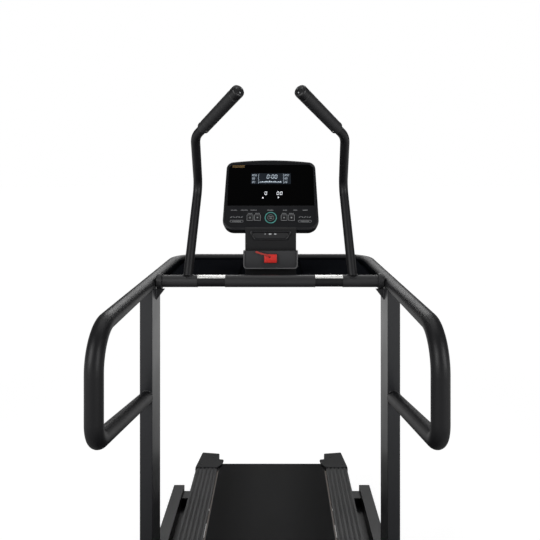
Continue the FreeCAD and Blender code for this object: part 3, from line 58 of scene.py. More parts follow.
def worn_edge_group():
    """Finds outside edges: puts out a mask of rubbed edges and a normal that softens them."""
    group = bpy.data.node_groups.new("worn_edge", "ShaderNodeTree")
    socket = group.interface.new_socket
    socket("Radius", in_out="INPUT", socket_type="NodeSocketFloat").default_value = 0.0015
    socket("Breakup", in_out="INPUT", socket_type="NodeSocketFloat").default_value = 40.0
    socket("Edge", in_out="OUTPUT", socket_type="NodeSocketFloat")
    socket("Normal", in_out="OUTPUT", socket_type="NodeSocketVector")
    nodes, join = group.nodes, group.links.new
    given = nodes.new("NodeGroupInput")
    out = nodes.new("NodeGroupOutput")
    bevel = nodes.new("ShaderNodeBevel")
    bevel.samples = 5
    geometry = nodes.new("ShaderNodeNewGeometry")
    turn = nodes.new("ShaderNodeVectorMath")
    turn.operation = "DOT_PRODUCT"
    edge = nodes.new("ShaderNodeMapRange")
    edge.inputs["From Min"].default_value = 0.995
    edge.inputs["From Max"].default_value = 0.86
    place = nodes.new("ShaderNodeTexCoord")
    patches = nodes.new("ShaderNodeTexNoise")
    patches.inputs["Detail"].default_value = 4.0
    rubbed = nodes.new("ShaderNodeMapRange")
    rubbed.inputs["From Min"].default_value = 0.42
    rubbed.inputs["From Max"].default_value = 0.62
    both = nodes.new("ShaderNodeMath")
    both.operation = "MULTIPLY"
    join(given.outputs["Radius"], bevel.inputs["Radius"])
    join(bevel.outputs["Normal"], turn.inputs[0])
    join(geometry.outputs["Normal"], turn.inputs[1])
    join(turn.outputs["Value"], edge.inputs["Value"])
    join(place.outputs["Object"], patches.inputs["Vector"])
    join(given.outputs["Breakup"], patches.inputs["Scale"])
    join(patches.outputs["Fac"], rubbed.inputs["Value"])
    join(edge.outputs["Result"], both.inputs[0])
    join(rubbed.outputs["Result"], both.inputs[1])
    join(both.outputs["Value"], out.inputs["Edge"])
    join(bevel.outputs["Normal"], out.inputs["Normal"])
    return group


def grain_group():
    """Fine surface texture: a height for bumps and a slow tint that drifts over the piece."""
    group = bpy.data.node_groups.new("grain", "ShaderNodeTree")
    socket = group.interface.new_socket
    socket("Scale", in_out="INPUT", socket_type="NodeSocketFloat").default_value = 900.0
    socket("Stretch", in_out="INPUT", socket_type="NodeSocketVector").default_value = (1, 1, 1)
    socket("Height", in_out="OUTPUT", socket_type="NodeSocketFloat")
    socket("Drift", in_out="OUTPUT", socket_type="NodeSocketFloat")
    nodes, join = group.nodes, group.links.new
    given = nodes.new("NodeGroupInput")
    out = nodes.new("NodeGroupOutput")
    place = nodes.new("ShaderNodeTexCoord")
    drawn = nodes.new("ShaderNodeVectorMath")
    drawn.operation = "MULTIPLY"
    fine = nodes.new("ShaderNodeTexNoise")
    fine.inputs["Detail"].default_value = 3.0
    fine.inputs["Roughness"].default_value = 0.62
    slow = nodes.new("ShaderNodeTexNoise")
    slow.inputs["Scale"].default_value = 7.0
    slow.inputs["Detail"].default_value = 5.0
    join(place.outputs["Object"], drawn.inputs[0])
    join(given.outputs["Stretch"], drawn.inputs[1])
    join(drawn.outputs["Vector"], fine.inputs["Vector"])
    join(given.outputs["Scale"], fine.inputs["Scale"])
    join(place.outputs["Object"], slow.inputs["Vector"])
    join(fine.outputs["Fac"], out.inputs["Height"])
    join(slow.outputs["Fac"], out.inputs["Drift"])
    return group


worn_edge = worn_edge_group()
grain = grain_group()


def finish_of(name, colour, rough, *, metal=0.0, scale=900.0, stretch=(1, 1, 1), depth=0.00006,
              radius=0.0015, wear=0.25, worn=(0.16, 0.16, 0.165), spread=0.14, coat=0.0, gloss=0.5):
    """A base material: tinted colour, drifting roughness, surface grain and rubbed edges."""
    material = bpy.data.materials.new(name)
    material.use_nodes = True
    nodes, join = material.node_tree.nodes, material.node_tree.links.new
    shader = nodes["Principled BSDF"]
    shader.inputs["Metallic"].default_value = metal
    shader.inputs["Coat Weight"].default_value = coat
    shader.inputs["Specular IOR Level"].default_value = gloss
    edges = nodes.new("ShaderNodeGroup")
    edges.node_tree = worn_edge
    edges.inputs["Radius"].default_value = radius
    texture = nodes.new("ShaderNodeGroup")
    texture.node_tree = grain
    texture.inputs["Scale"].default_value = scale
    texture.inputs["Stretch"].default_value = stretch
    tint = nodes.new("ShaderNodeMix")
    tint.data_type = "RGBA"
    tint.inputs["A"].default_value = (*[part * (1 - spread) for part in colour], 1)
    tint.inputs["B"].default_value = (*[min(1, part * (1 + spread)) for part in colour], 1)
    rub = nodes.new("ShaderNodeMix")
    rub.data_type = "RGBA"
    rub.inputs["B"].default_value = (*worn, 1)
    share = nodes.new("ShaderNodeMath")
    share.operation = "MULTIPLY"
    share.inputs[1].default_value = wear
    dull = nodes.new("ShaderNodeMapRange")
    dull.inputs["To Min"].default_value = max(0.03, rough - 0.07)
    dull.inputs["To Max"].default_value = min(1.0, rough + 0.07)
    bump = nodes.new("ShaderNodeBump")
    bump.inputs["Distance"].default_value = depth
    join(texture.outputs["Drift"], tint.inputs["Factor"])
    join(edges.outputs["Edge"], share.inputs[0])
    join(share.outputs["Value"], rub.inputs["Factor"])
    join(tint.outputs["Result"], rub.inputs["A"])
    join(rub.outputs["Result"], shader.inputs["Base Color"])
    join(texture.outputs["Drift"], dull.inputs["Value"])
    join(dull.outputs["Result"], shader.inputs["Roughness"])
    join(texture.outputs["Height"], bump.inputs["Height"])
    join(edges.outputs["Normal"], bump.inputs["Normal"])
    join(bump.outputs["Normal"], shader.inputs["Normal"])
    return material


def give(material, *names):
    """Puts a finish on carried-over CAD pieces."""
    for name in names:
        if not cad[name].material_slots:
            cad[name].data.materials.append(material)
        for slot in cad[name].material_slots:
            slot.material = material


def piece(name, points, faces, material, body, slot, smooth=True):
    """One mesh piece from its points and faces, riding on a body."""
    mesh = bpy.data.meshes.new(name)
    mesh.from_pydata([tuple(point) for point in points], [], faces)
    work = bmesh.new()
    work.from_mesh(mesh)
    bmesh.ops.remove_doubles(work, verts=work.verts, dist=1e-6)
    bmesh.ops.recalc_face_normals(work, faces=work.faces)
    work.to_mesh(mesh)
    work.free()
    mesh.materials.append(material)
    if smooth:
        mesh.shade_smooth()
        mesh.set_sharp_from_angle(angle=math.radians(38))
    made = bpy.data.objects.new(name, mesh)
    bpy.context.scene.collection.objects.link(made)
    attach(made, body)
    return made


def skin(loops, close_start=True, close_end=True):
    """Points and faces of a surface drawn through a row of equal loops."""
    count = len(loops[0])
    points = [point for loop in loops for point in loop]
    faces = []
    for row in range(len(loops) - 1):
        for index in range(count):
            after = (index + 1) % count
            faces.append((row * count + index, row * count + after,
                          (row + 1) * count + after, (row + 1) * count + index))
    if close_start:
        faces.append(tuple(reversed(range(count))))
    if close_end:
        faces.append(tuple(range((len(loops) - 1) * count, len(loops) * count)))
    return points, faces


def merged(parts):
    """Several point and face lists as one."""
    points, faces = [], []
    for more, theirs in parts:
        faces += [tuple(index + len(points) for index in face) for face in theirs]
        points += more
    return points, faces


def rounded(corners, radii, steps=6):
    """A flat outline with its corners rounded."""
    corners = [Vector(corner) for corner in corners]
    outline = []
    for index, corner in enumerate(corners):
        radius = radii[index]
        if radius <= 0:
            outline.append(corner)
            continue
        back = (corners[index - 1] - corner).normalized()
        on = (corners[(index + 1) % len(corners)] - corner).normalized()
        half = back.angle(on) / 2
        middle = corner + (back + on).normalized() * (radius / math.sin(half))
        first = corner + back * (radius / math.tan(half)) - middle
        last = corner + on * (radius / math.tan(half)) - middle
        sweep = first.angle_signed(last)
        for step in range(steps + 1):
            turn = Matrix.Rotation(-sweep * step / steps, 2)
            outline.append(middle + turn @ first)
    return outline


def oblong(x0, y0, x1, y1):
    """The four corners of a flat oblong."""
    return [(x0, y0), (x1, y0), (x1, y1), (x0, y1)]


def block(low, high, radius, steps=3):
    """A block with all its edges rounded, as points and faces."""
    low, high = Vector(low), Vector(high)
    loops = []
    for lift, inset in [(0, radius)] + [
            (radius * (1 - math.cos(math.pi / 2 * step / steps)),
             radius * (1 - math.sin(math.pi / 2 * step / steps))) for step in range(1, steps + 1)]:
        loops.append((low.z + lift, inset))
    loops += [(high.z + low.z - height, inset) for height, inset in reversed(loops)]
    rings = []
    for height, inset in loops:
        corners = oblong(low.x + inset, low.y + inset, high.x - inset, high.y - inset)
        soft = max(radius - inset, radius * 0.12)
        rings.append([Vector((x, y, height)) for x, y in rounded(corners, [soft] * 4, steps)])
    return skin(rings)


frame_coat = finish_of("charcoal_coat", (0.010, 0.0102, 0.0115), 0.42, scale=1400, depth=0.00004,
                       radius=0.004, wear=0.35, worn=(0.05, 0.05, 0.053))
plug_plastic = finish_of("plug_plastic", (0.008, 0.008, 0.0085), 0.5, scale=1800, wear=0.2)
give(frame_coat, "base_rail_left", "base_rail_right", "base_crossmembers")
TUBE_WIDE = 0.05
RIB_PITCH = 0.0115
for side in ("left", "right"):
    rail_low, rail_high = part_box("base_rail_" + side)
    outer = rail_high.x if side == "right" else rail_low.x
    inner = outer - TUBE_WIDE if side == "right" else outer + TUBE_WIDE
    x0, x1 = sorted((outer, inner))
    for end, y in (("rear", rail_low.y), ("front", rail_high.y)):
        out = -1 if end == "rear" else 1
        lid = block((x0 + 0.0005, min(y, y + out * 0.003), rail_low.z + 0.0005),
                    (x1 - 0.0005, max(y, y + out * 0.003), rail_high.z - 0.0005), 0.0013)
        ribs = [block((x0 + 0.0035, min(y - out * 0.03, y), rail_low.z + 0.0035 + RIB_PITCH * number),
                      (x1 - 0.0035, max(y - out * 0.03, y), rail_low.z + 0.0065 + RIB_PITCH * number), 0.0008)
                for number in range(6)]
        piece(f"tube_plug_{end}_{side}", *merged([lid] + ribs), plug_plastic, "frame", "foot_rubber")


# ---- Levelling feet
# Each foot is a moulded rubber pad on a zinc plated stud, screwed up into the floor tube
# and held at its height by a hexagon nut.

def turned(profile, start, ahead, around=40):
    """A turned shape: (radius, distance) pairs about a line from a point."""
    ahead = Vector(ahead).normalized()
    side = ahead.orthogonal().normalized()
    other = ahead.cross(side)
    loops = []
    for radius, distance in profile:
        radius = max(radius, 1e-5)
        loops.append([Vector(start) + ahead * distance
                      + side * (radius * math.cos(2 * math.pi * step / around))
                      + other * (radius * math.sin(2 * math.pi * step / around))
                      for step in range(around)])
    return skin(loops)


def hexagon(across, start, ahead, length, chamfer=0.0008):
    """A hexagon nut or bolt head with chamfered ends."""
    radius = across / math.sqrt(3)
    soft = radius - chamfer
    return turned([(soft, 0), (radius, chamfer), (radius, length - chamfer), (soft, length)],
                  start, ahead, around=6)


zinc = finish_of("zinc_plate", (0.52, 0.52, 0.50), 0.34, metal=1.0, scale=2400, radius=0.0006,
                 wear=0.5, worn=(0.75, 0.75, 0.73), spread=0.1)
foot_rubber = finish_of("foot_rubber", (0.012, 0.012, 0.0125), 0.68, scale=1500, depth=0.0001,
                        wear=0.3, worn=(0.07, 0.068, 0.065))
UP = (0, 0, 1)
ACROSS = (1, 0, 0)
PAD_RADIUS = 0.024
feet_low, feet_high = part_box("leveling_feet")
pads, studs = [], []
for x in (feet_low.x + PAD_RADIUS, feet_high.x - PAD_RADIUS):
    for y in (feet_low.y + PAD_RADIUS, feet_high.y - PAD_RADIUS):
        foot = (x, y, 0)
        pads.append(turned([(0.0, 0.001), (0.010, 0.001), (0.012, 0.0), (0.0228, 0.0), (PAD_RADIUS, 0.0015),
                            (PAD_RADIUS, 0.0055), (0.0225, 0.0075), (0.015, 0.0088), (0.0, 0.009)], foot, UP))
        threads = [(0.0052 + 0.0007 * (number % 2), 0.0088 + 0.0006 * number) for number in range(16)]
        studs.append(turned([(0.0, 0.0085)] + threads + [(0.0, 0.018)], foot, UP, 24))
        studs.append(hexagon(0.018, (x, y, 0.0112), UP, 0.0036))
foot_pads = piece("foot_pads", *merged(pads), foot_rubber, "frame", "foot_rubber")
foot_studs = piece("foot_studs", *merged(studs), zinc, "frame", "bare_steel")
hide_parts("leveling_feet")
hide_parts("leveling_feet")


# ---- Uprights
# Rectangular tubes that stand on welded flanges. Each flange is pulled down to its floor
# tube by two hexagon bolts on washers, and a thin bead of weld runs round its foot.

def bead(path, radius, closed=True, around=8, ripple=0.12, pitch=0.0045):
    """A rippled weld bead along a row of points."""
    points = [Vector(point) for point in path]
    loops = []
    walked = 0.0
    for index, point in enumerate(points):
        before = points[index - 1] if closed or index else point
        after = points[(index + 1) % len(points)] if closed or index + 1 < len(points) else point
        ahead = (after - before).normalized()
        side = ahead.cross(Vector((0.31, 0.17, 0.93))).normalized()
        other = ahead.cross(side)
        swell = radius * (1 + ripple * math.sin(2 * math.pi * walked / pitch))
        walked += (point - points[index - 1]).length if index else 0.0
        loops.append([point + side * (swell * math.cos(2 * math.pi * step / around))
                      + other * (swell * math.sin(2 * math.pi * step / around))
                      for step in range(around)])
    if closed:
        loops.append(loops[0])
    return skin(loops, not closed, not closed)


def along(corners, step=0.0012):
    """Evenly spaced points along straight runs between corners."""
    corners = [Vector(corner) for corner in corners]
    points = []
    for start, end in zip(corners, corners[1:]):
        count = max(1, round((end - start).length / step))
        points += [start.lerp(end, number / count) for number in range(count)]
    return points


# A lighter, glossier copy of the charcoal frame paint: the extra lightness is painted light standing in for
# the light on the uprights' inner faces.
upright_lightened_coat = finish_of("upright_lightened_coat", (0.023, 0.0235, 0.026), 0.30, scale=1300, depth=0.00003,
                         radius=0.005, wear=0.22, worn=(0.05, 0.05, 0.055))
weld_coat = finish_of("weld_coat", (0.016, 0.016, 0.018), 0.34, scale=700, depth=0.00012, wear=0.3,
                      worn=(0.06, 0.06, 0.063))
give(upright_lightened_coat, "upright_left", "upright_right")
FLANGE_THICK = 0.008
for side, tube_x in (("left", (-0.4695, -0.4245)), ("right", (0.4245, 0.4695))):
    foot_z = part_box("upright_" + side)[0].z + FLANGE_THICK
    round_foot = [(x, y, foot_z) for x, y in oblong(tube_x[0], 0.07, tube_x[1], 0.206)]
    weld = bead(along(round_foot + round_foot[:1]), 0.0022)
    piece("foot_weld_" + side, *weld, weld_coat, "frame", "frame_paint")
BOLT_INSET = 0.009
bolts, washers = [], []
bolt_low, bolt_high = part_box("frame_bolts")
for x in (bolt_low.x + BOLT_INSET, bolt_high.x - BOLT_INSET):
    for y in (bolt_low.y + BOLT_INSET, bolt_high.y - BOLT_INSET):
        washers.append(turned([(0.0055, 0), (0.0108, 0), (0.0112, 0.0004), (0.0112, 0.0014), (0.0108, 0.0018),
                               (0.0055, 0.0018)], (x, y, 0.093), UP))
        bolts.append(hexagon(0.0162, (x, y, 0.0948), UP, 0.0052))
        bolts.append(turned([(0.0, 0), (0.0045, 0), (0.005, 0.001), (0.005, 0.02), (0.0, 0.02)],
                            (x, y, 0.079), UP, 20))
flange_bolts = piece("flange_bolts", *merged(bolts + washers), zinc, "frame", "bare_steel")
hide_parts("frame_bolts")


# ---- Handrails and front rail
# Each handrail is one bent tube: forward run, loop and lower leg in a piece, welded to the
# upright. The front rail plugs into both and the joint shows as a fine dark line.

rail_coat = finish_of("rail_coat", (0.0062, 0.0062, 0.0074), 0.45, scale=600, depth=0.000003,
                      radius=0.0004, wear=0.0, worn=(0.04, 0.04, 0.043), spread=0.1, gloss=0.34)
# Near black for dark seams and joints, and also for painted shade: flat black pieces stand in for the shade
# inside holes, slots, vents and along a step.
seam_and_shade_black = finish_of("seam_and_shade_black", (0.003, 0.003, 0.003), 0.7, wear=0.0)
give(rail_coat, "handrail_left", "handrail_right", "front_rail", "horn_left", "horn_right", "pulse_bar")
RAIL_X = 0.447
RAIL_UP = 1.187
RAIL_RADIUS = 0.0250
LEG_UP = 0.785
UPRIGHT_BACK = 0.0695
joint_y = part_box("front_rail")[0].y
for side, x in (("left", -RAIL_X), ("right", RAIL_X)):
    line = turned([(0.0244, -0.0009), (RAIL_RADIUS, -0.0006), (RAIL_RADIUS, 0.0006), (0.0244, 0.0009)],
                  (x, joint_y, RAIL_UP), (0, 1, 0), 64)
    piece("rail_joint_" + side, *line, seam_and_shade_black, "frame", "rail_paint")
    lean = math.atan2(0.112, 0.576)
    arcs = []
    for first in (28, 208):
        arc = []
        for step in range(63):
            turn = math.radians(first + 2 * step)
            up = LEG_UP + RAIL_RADIUS * math.sin(turn) / math.cos(lean)
            arc.append((x + RAIL_RADIUS * math.cos(turn), UPRIGHT_BACK, up))
        arcs.append(bead(arc, 0.0024, closed=False))
    piece("leg_weld_" + side, *merged(arcs), weld_coat, "frame", "rail_paint")


# ---- Pulse bar, sleeves and sensor plates
# A plain tube between the handrails. Moulded rubber sleeves are pushed over it, with two
# polished stainless half shells let in between them for the hands, and a collar at each end.

sleeve_rubber = finish_of("sleeve_rubber", (0.020, 0.020, 0.0215), 0.44, scale=1100, depth=0.0001,
                          radius=0.0012, wear=0.25, worn=(0.03, 0.03, 0.03))
polished = finish_of("polished_steel", (0.92, 0.92, 0.90), 0.26, metal=0.8, scale=260,
                     stretch=(1, 22, 22), depth=0.00002, radius=0.0006, wear=0.0, spread=0.04)
give(sleeve_rubber, "bar_sleeves")
give(polished, "pulse_sensors")
bar_low, bar_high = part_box("pulse_bar")
bar_y, bar_z = (bar_low.y + bar_high.y) / 2, (bar_low.z + bar_high.z) / 2
frames = []
for side in (-1, 1):
    for x in (0.166, 0.271):
        frames.append(turned([(0.0222, -0.0012), (0.0231, -0.0009), (0.0231, 0.0009), (0.0222, 0.0012)],
                             (side * x, bar_y, bar_z), ACROSS, 48))
piece("sensor_frames", *merged(frames), sleeve_rubber, "frame", "sleeve_rubber")


# ---- Tray
# One thin moulding with a fine pebbled surface, hung between the bar and the front rail.
# A rolled lip stiffens its edge, and a ribbed rubber mat lies in each half.

tray_plastic = finish_of("tray_plastic", (0.0055, 0.0062, 0.008), 0.6, scale=1000, depth=0.00014,
                         radius=0.002, wear=0.2, worn=(0.015, 0.015, 0.016), gloss=0.0)
mat_rubber = finish_of("mat_rubber", (0.0062, 0.0068, 0.0085), 0.85, scale=1800, depth=0.00008, wear=0.1,
                       worn=(0.015, 0.015, 0.016), gloss=0.0)
give(tray_plastic, "accessory_tray")
TRAY_CORNER = 0.091
MAT_PITCH = 0.025
tray_low, tray_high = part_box("accessory_tray")


def tray_ring(inset, height):
    """The tray's rounded outline, moved in and lifted."""
    corners = oblong(tray_low.x + inset, tray_low.y + inset, tray_high.x - inset, tray_high.y - inset)
    return [Vector((x, y, height)) for x, y in rounded(corners, [TRAY_CORNER - inset] * 4, 12)]


lip_profile = [(-0.0008, -0.006), (-0.0012, -0.002), (-0.0006, 0.0008), (0.0014, 0.0018), (0.0036, 0.0012),
               (0.0046, -0.0008), (0.0048, -0.006)]
lip = [tray_ring(inset, tray_high.z + lift) for inset, lift in lip_profile]
piece("tray_lip", *skin(lip + [lip[0]], False, False), tray_plastic, "frame", "tray_plastic")
mats = []
for side in (-1, 1):
    for number in range(17):
        y = 0.21 + MAT_PITCH * number
        mats.append(block((min(side * 0.128, side * 0.392), y, tray_low.z + 0.0238),
                          (max(side * 0.128, side * 0.392), y + 0.021, tray_low.z + 0.0266), 0.0011, 2))
piece("tray_mats", *merged(mats), mat_rubber, "frame", "tray_plastic")


# ---- Horns and grips
# Each horn is a three-way bent tube welded upright on the bar. Its grip is a thick moulded
# rubber sleeve with a rolled rear edge, and a hard end cap that carries three buttons.

grip_rubber = finish_of("grip_rubber", (0.012, 0.012, 0.0135), 0.52, scale=900, depth=0.00007,
                        radius=0.001, wear=0.2, worn=(0.03, 0.03, 0.031))
cap_black = finish_of("cap_black", (0.009, 0.009, 0.010), 0.34, scale=1500, wear=0.2)
button_ring = finish_of("button_ring", (0.035, 0.036, 0.038), 0.3, scale=2000, radius=0.0004, wear=0.3,
                        worn=(0.2, 0.2, 0.2))
button_mark = finish_of("button_mark", (0.55, 0.57, 0.58), 0.45, scale=2000, wear=0.0)
GRIP_LONG = 0.262
RIB_GAP = 0.026
HORN_X = 0.307
BUTTON_HALF = 0.0012
for side in ("left", "right"):
    buttons = ["grip_button_" + number + "_" + side for number in "123"]
    ahead = -press[buttons[0] + "_press"].normalized()
    middles = [(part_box(name)[0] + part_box(name)[1]) / 2 for name in buttons]
    tip = (middles[0] + middles[1] + middles[2]) / 3 + ahead * BUTTON_HALF
    start = tip - ahead * GRIP_LONG
    profile = [(0.0176, 0.0), (0.0198, 0.0), (0.0222, 0.0008), (0.0232, 0.0026), (0.0232, 0.0072),
               (0.0222, 0.009), (0.0219, 0.0105), (0.0226, 0.0125)]
    for number in range(7):
        base = 0.034 + RIB_GAP * number
        profile += [(0.0229, base), (0.02265, base + 0.0008), (0.02265, base + 0.0016),
                    (0.0229, base + 0.0024)]
    profile += [(0.023, 0.222), (0.0229, 0.2268), (0.0215, 0.2278), (0.0205, 0.228), (0.0178, 0.228)]
    sleeve = piece("grip_sleeve_" + side, *turned(profile, start, ahead, 64), grip_rubber,
                   "frame", "grip_rubber")
    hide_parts("horn_grip_" + side)
    cap = [(0.0178, 0.2282), (0.0219, 0.2282), (0.0229, 0.2296), (0.0231, 0.236), (0.0231, 0.2515),
           (0.0226, 0.2553), (0.0213, 0.2585), (0.0194, 0.2605), (0.0172, 0.2614), (0.0, 0.2617)]
    shell = piece("grip_cap_" + side, *turned(cap, start, ahead, 64), cap_black, "frame", "grip_rubber")
    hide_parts("horn_grip_" + side)
    upward = (Vector((0, 0, 1)) - ahead * ahead.z).normalized()
    across = ahead.cross(upward)
    rings, marks = [], []
    for name, middle in zip(buttons, middles):
        face = middle + ahead * (BUTTON_HALF - 0.0004)
        rings.append(turned([(0.00415, 0.0001), (0.0050, 0.0001), (0.0054, 0.0005), (0.0050, 0.0009),
                             (0.00415, 0.0009)], face, ahead, 32))
        top = middle + ahead * 0.0028
        number = int(name.split("_")[2])
        mark = []
        for spin in (0, 90) if number == 1 else (0,):
            turn = Matrix.Rotation(math.radians(spin), 3, ahead)
            bar = [top + turn @ (across * x + upward * y)
                   for x, y in oblong(-0.0024, -0.0004, 0.0024, 0.0004)]
            mark.append(skin([bar, [point + ahead * 0.00022 for point in bar]]))
        if number == 3:
            mark = [turned([(0.0014, 0), (0.0022, 0), (0.0022, 0.0002), (0.0014, 0.0002)], top, ahead, 24)]
        piece("button_mark_" + name[12:], *merged(mark), button_mark, name, "button_light")
    piece("button_rings_" + side, *merged(rings), cap_black, "frame", "grip_rubber")
    give(button_ring, *buttons)
    screw = start + ahead * 0.018 - upward * 0.0231
    piece("grip_screw_" + side, *turned([(0.0, 0.0), (0.0028, 0.0), (0.0032, 0.0006), (0.0028, 0.0012),
                                         (0.0016, 0.0013), (0.0014, 0.0004), (0.0, 0.0004)],
                                        screw + upward * 0.0006, -upward, 24), zinc, "frame", "bare_steel")
    foot_x = -HORN_X if side == "left" else HORN_X
    saddle = []
    for step in range(120):
        turn = 2 * math.pi * step / 120
        x = 0.0182 * math.cos(turn)
        y = 0.0182 * math.sin(turn) * 1.09
        height = math.sqrt(max(0.0226 ** 2 - (y + 0.002) ** 2, 0))
        saddle.append((foot_x + x, bar_y + y + 0.002, bar_z + height))
    piece("horn_weld_" + side, *bead(saddle, 0.0026), weld_coat, "frame", "rail_paint")


# ---- Console
# A shallow moulded case: a domed rear shell with vents, a satin front moulding with a soft
# rounded rim, a smoked lens over the display, and a low key panel with printed marks.

into = press["start_press"].normalized()
out_of = -into
up_face = Vector((0, abs(out_of.z), abs(out_of.y)))
ROW = 0.053
KEY_TOP = 0.0012
LABEL_UP = 0.0845
LENS = -0.00058
start_low, start_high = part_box("key_start")
face_zero = (start_low + start_high) / 2 - up_face * ROW + out_of * 0.0024


def on_face(x, up, out):
    """A point on the console: across, up the face from its lower edge, and out from it."""
    return face_zero + Vector((x, 0, 0)) + up_face * up + out_of * out


def console_ring(inset, out):
    """The console's outline with its round corners and arched top."""
    low, top, arch, shoulder = 0.195 - inset, 0.186 - inset, 0.013, 0.300 - inset
    corners = [(-low, inset), (low, inset), (top, shoulder)]
    radii = [0.044 - inset, 0.044 - inset, 0.030 - inset]
    for step in range(1, 12):
        x = top * (1 - 2 * step / 12)
        corners.append((x, shoulder + arch * (1 - (x / top) ** 2)))
        radii.append(0)
    corners.append((-top, shoulder))
    radii.append(0.030 - inset)
    return [on_face(x, y, out) for x, y in rounded(corners, radii, 9)]


shell_plastic = finish_of("shell_plastic", (0.005, 0.0051, 0.006), 0.42, scale=900, depth=0.00012,
                          radius=0.002, wear=0.2, worn=(0.03, 0.03, 0.032), gloss=0.34)
bezel_plastic = finish_of("bezel_plastic", (0.0065, 0.0069, 0.0085), 0.36, scale=1300, depth=0.00006,
                          radius=0.001, wear=0.2, worn=(0.03, 0.03, 0.032), gloss=0.36)
lens_black = finish_of("lens_black", (0.0003, 0.0003, 0.0004), 0.1, scale=300, depth=0.0, wear=0.0,
                       gloss=0.16)
give(bezel_plastic, "console_bezel")
give(lens_black, "console_glass")
give(shell_plastic, "console_display")
rim = [console_ring(inset, out) for inset, out in
       ((-0.0008, -0.0140), (-0.0010, -0.0060), (-0.0006, -0.0022), (0.0008, 0.0006), (0.0028, 0.0022),
        (0.0052, 0.0028), (0.0078, 0.0022), (0.0096, 0.0006), (0.0100, -0.0010), (0.0060, -0.0100))]
piece("console_rim", *skin(rim + [rim[0]], False, False), bezel_plastic, "frame", "bezel_plastic")
back_steps = [(0.0006, -0.0142), (0.0, -0.0160), (0.0, -0.0300), (0.0008, -0.0400), (0.0032, -0.0480),
              (0.0075, -0.0535), (0.0130, -0.0565), (0.0190, -0.0578), (0.0240, -0.0580), (0.0290, -0.0580)]
back = [console_ring(inset, out) for inset, out in back_steps]
back_shell = piece("console_back_shell", *skin(back, False, True), shell_plastic, "frame", "shell_plastic")
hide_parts("console_back")
parting = [console_ring(inset, out) for inset, out in
           ((0.0004, -0.0137), (-0.0012, -0.0137), (-0.0012, -0.0147), (0.0004, -0.0147))]
piece("console_parting", *skin(parting + [parting[0]], False, False), seam_and_shade_black, "frame", "shell_plastic")
vents, screws = [], []
for side in (-1, 1):
    for number in range(7):
        x = side * (0.078 + 0.0095 * number)
        slot = rounded(oblong(x - 0.002, 0.188, x + 0.002, 0.25), [0.0019] * 4, 4)
        vents.append(skin([[on_face(a, b, out) for a, b in slot] for out in (-0.0574, -0.0583)]))
    for up in (0.045, 0.272):
        screws.append(turned([(0.0, 0.0), (0.0042, 0.0), (0.0046, 0.0005), (0.0042, 0.0014), (0.0022, 0.0016),
                              (0.0018, 0.0006), (0.0, 0.0006)], on_face(side * 0.145, up, -0.0578), into, 28))
# The vent slots are thin near-black slabs on the back shell: painted shade standing in for the dark inside
# the openings.
piece("console_vents", *merged(vents), seam_and_shade_black, "frame", "shell_plastic")
piece("console_screws", *merged(screws), zinc, "frame", "bare_steel")


def printed(name, shapes, out, material, body="frame", slot="bezel_plastic", thick=0.00022):
    """Flat printed or lit shapes lying on the console's face."""
    parts = []
    for shape in shapes:
        parts.append(skin([[on_face(x, up, out) for x, up in shape],
                           [on_face(x, up, out + thick) for x, up in shape]]))
    return piece(name, *merged(parts), material, body, slot, smooth=False)


def frame_outline(x0, up0, x1, up1, radius, line):
    """A rounded frame line as flat four-sided shapes."""
    outer = rounded(oblong(x0, up0, x1, up1), [radius] * 4, 5)
    inner = rounded(oblong(x0 + line, up0 + line, x1 - line, up1 - line), [radius - line] * 4, 5)
    count = len(outer)
    return [(outer[index], outer[(index + 1) % count], inner[(index + 1) % count], inner[index])
            for index in range(count)]


def ring_outline(x, up, radius, line, around=48):
    """A round line as flat four-sided shapes."""
    shapes = []
    for step in range(around):
        pair = [2 * math.pi * (step + more) / around for more in (0, 1)]
        shapes.append([(x + size * math.cos(turn), up + size * math.sin(turn))
                       for size, turn in ((radius, pair[0]), (radius, pair[1]),
                                          (radius - line, pair[1]), (radius - line, pair[0]))])
    return shapes


def digit(number, x, up, wide, tall, line):
    """A seven-segment digit as flat shapes."""
    lit = ["abcdef", "bc", "abged", "abgcd", "fgbc", "afgcd", "afgedc", "abc", "abcdefg", "abcdfg"][number]
    gap = line * 0.25
    mid = up + tall / 2
    runs = {"a": ((x, up + tall), (x + wide, up + tall)), "g": ((x, mid), (x + wide, mid)),
            "d": ((x, up), (x + wide, up)), "f": ((x, mid), (x, up + tall)), "e": ((x, up), (x, mid)),
            "b": ((x + wide, mid), (x + wide, up + tall)), "c": ((x + wide, up), (x + wide, mid))}
    shapes = []
    for letter in lit:
        (x0, y0), (x1, y1) = runs[letter]
        half = line / 2
        if y0 == y1:
            shapes.append([(x0 + gap, y0), (x0 + gap + half, y0 - half), (x1 - gap - half, y0 - half),
                           (x1 - gap, y0), (x1 - gap - half, y0 + half), (x0 + gap + half, y0 + half)])
        else:
            shapes.append([(x0, y0 + gap), (x0 + half, y0 + gap + half), (x0 + half, y1 - gap - half),
                           (x0, y1 - gap), (x0 - half, y1 - gap - half), (x0 - half, y0 + gap + half)])
    return shapes


def number_row(text, x, up, wide, tall, line, pitch):
    """Digits, colons and points in a row, leaning a little forward."""
    shapes = []
    for letter in text:
        if letter == ":":
            for share in (0.3, 0.7):
                spot = up + tall * share
                shapes.append(oblong(x, spot - line / 2, x + line, spot + line / 2))
            x += pitch * 0.45
        elif letter == ".":
            shapes.append(oblong(x - line, up - line / 2, x, up + line / 2))
        else:
            shapes += digit(int(letter), x, up, wide, tall, line)
            x += pitch
    return [[(a + 0.1 * (b - up), b) for a, b in shape] for shape in shapes]


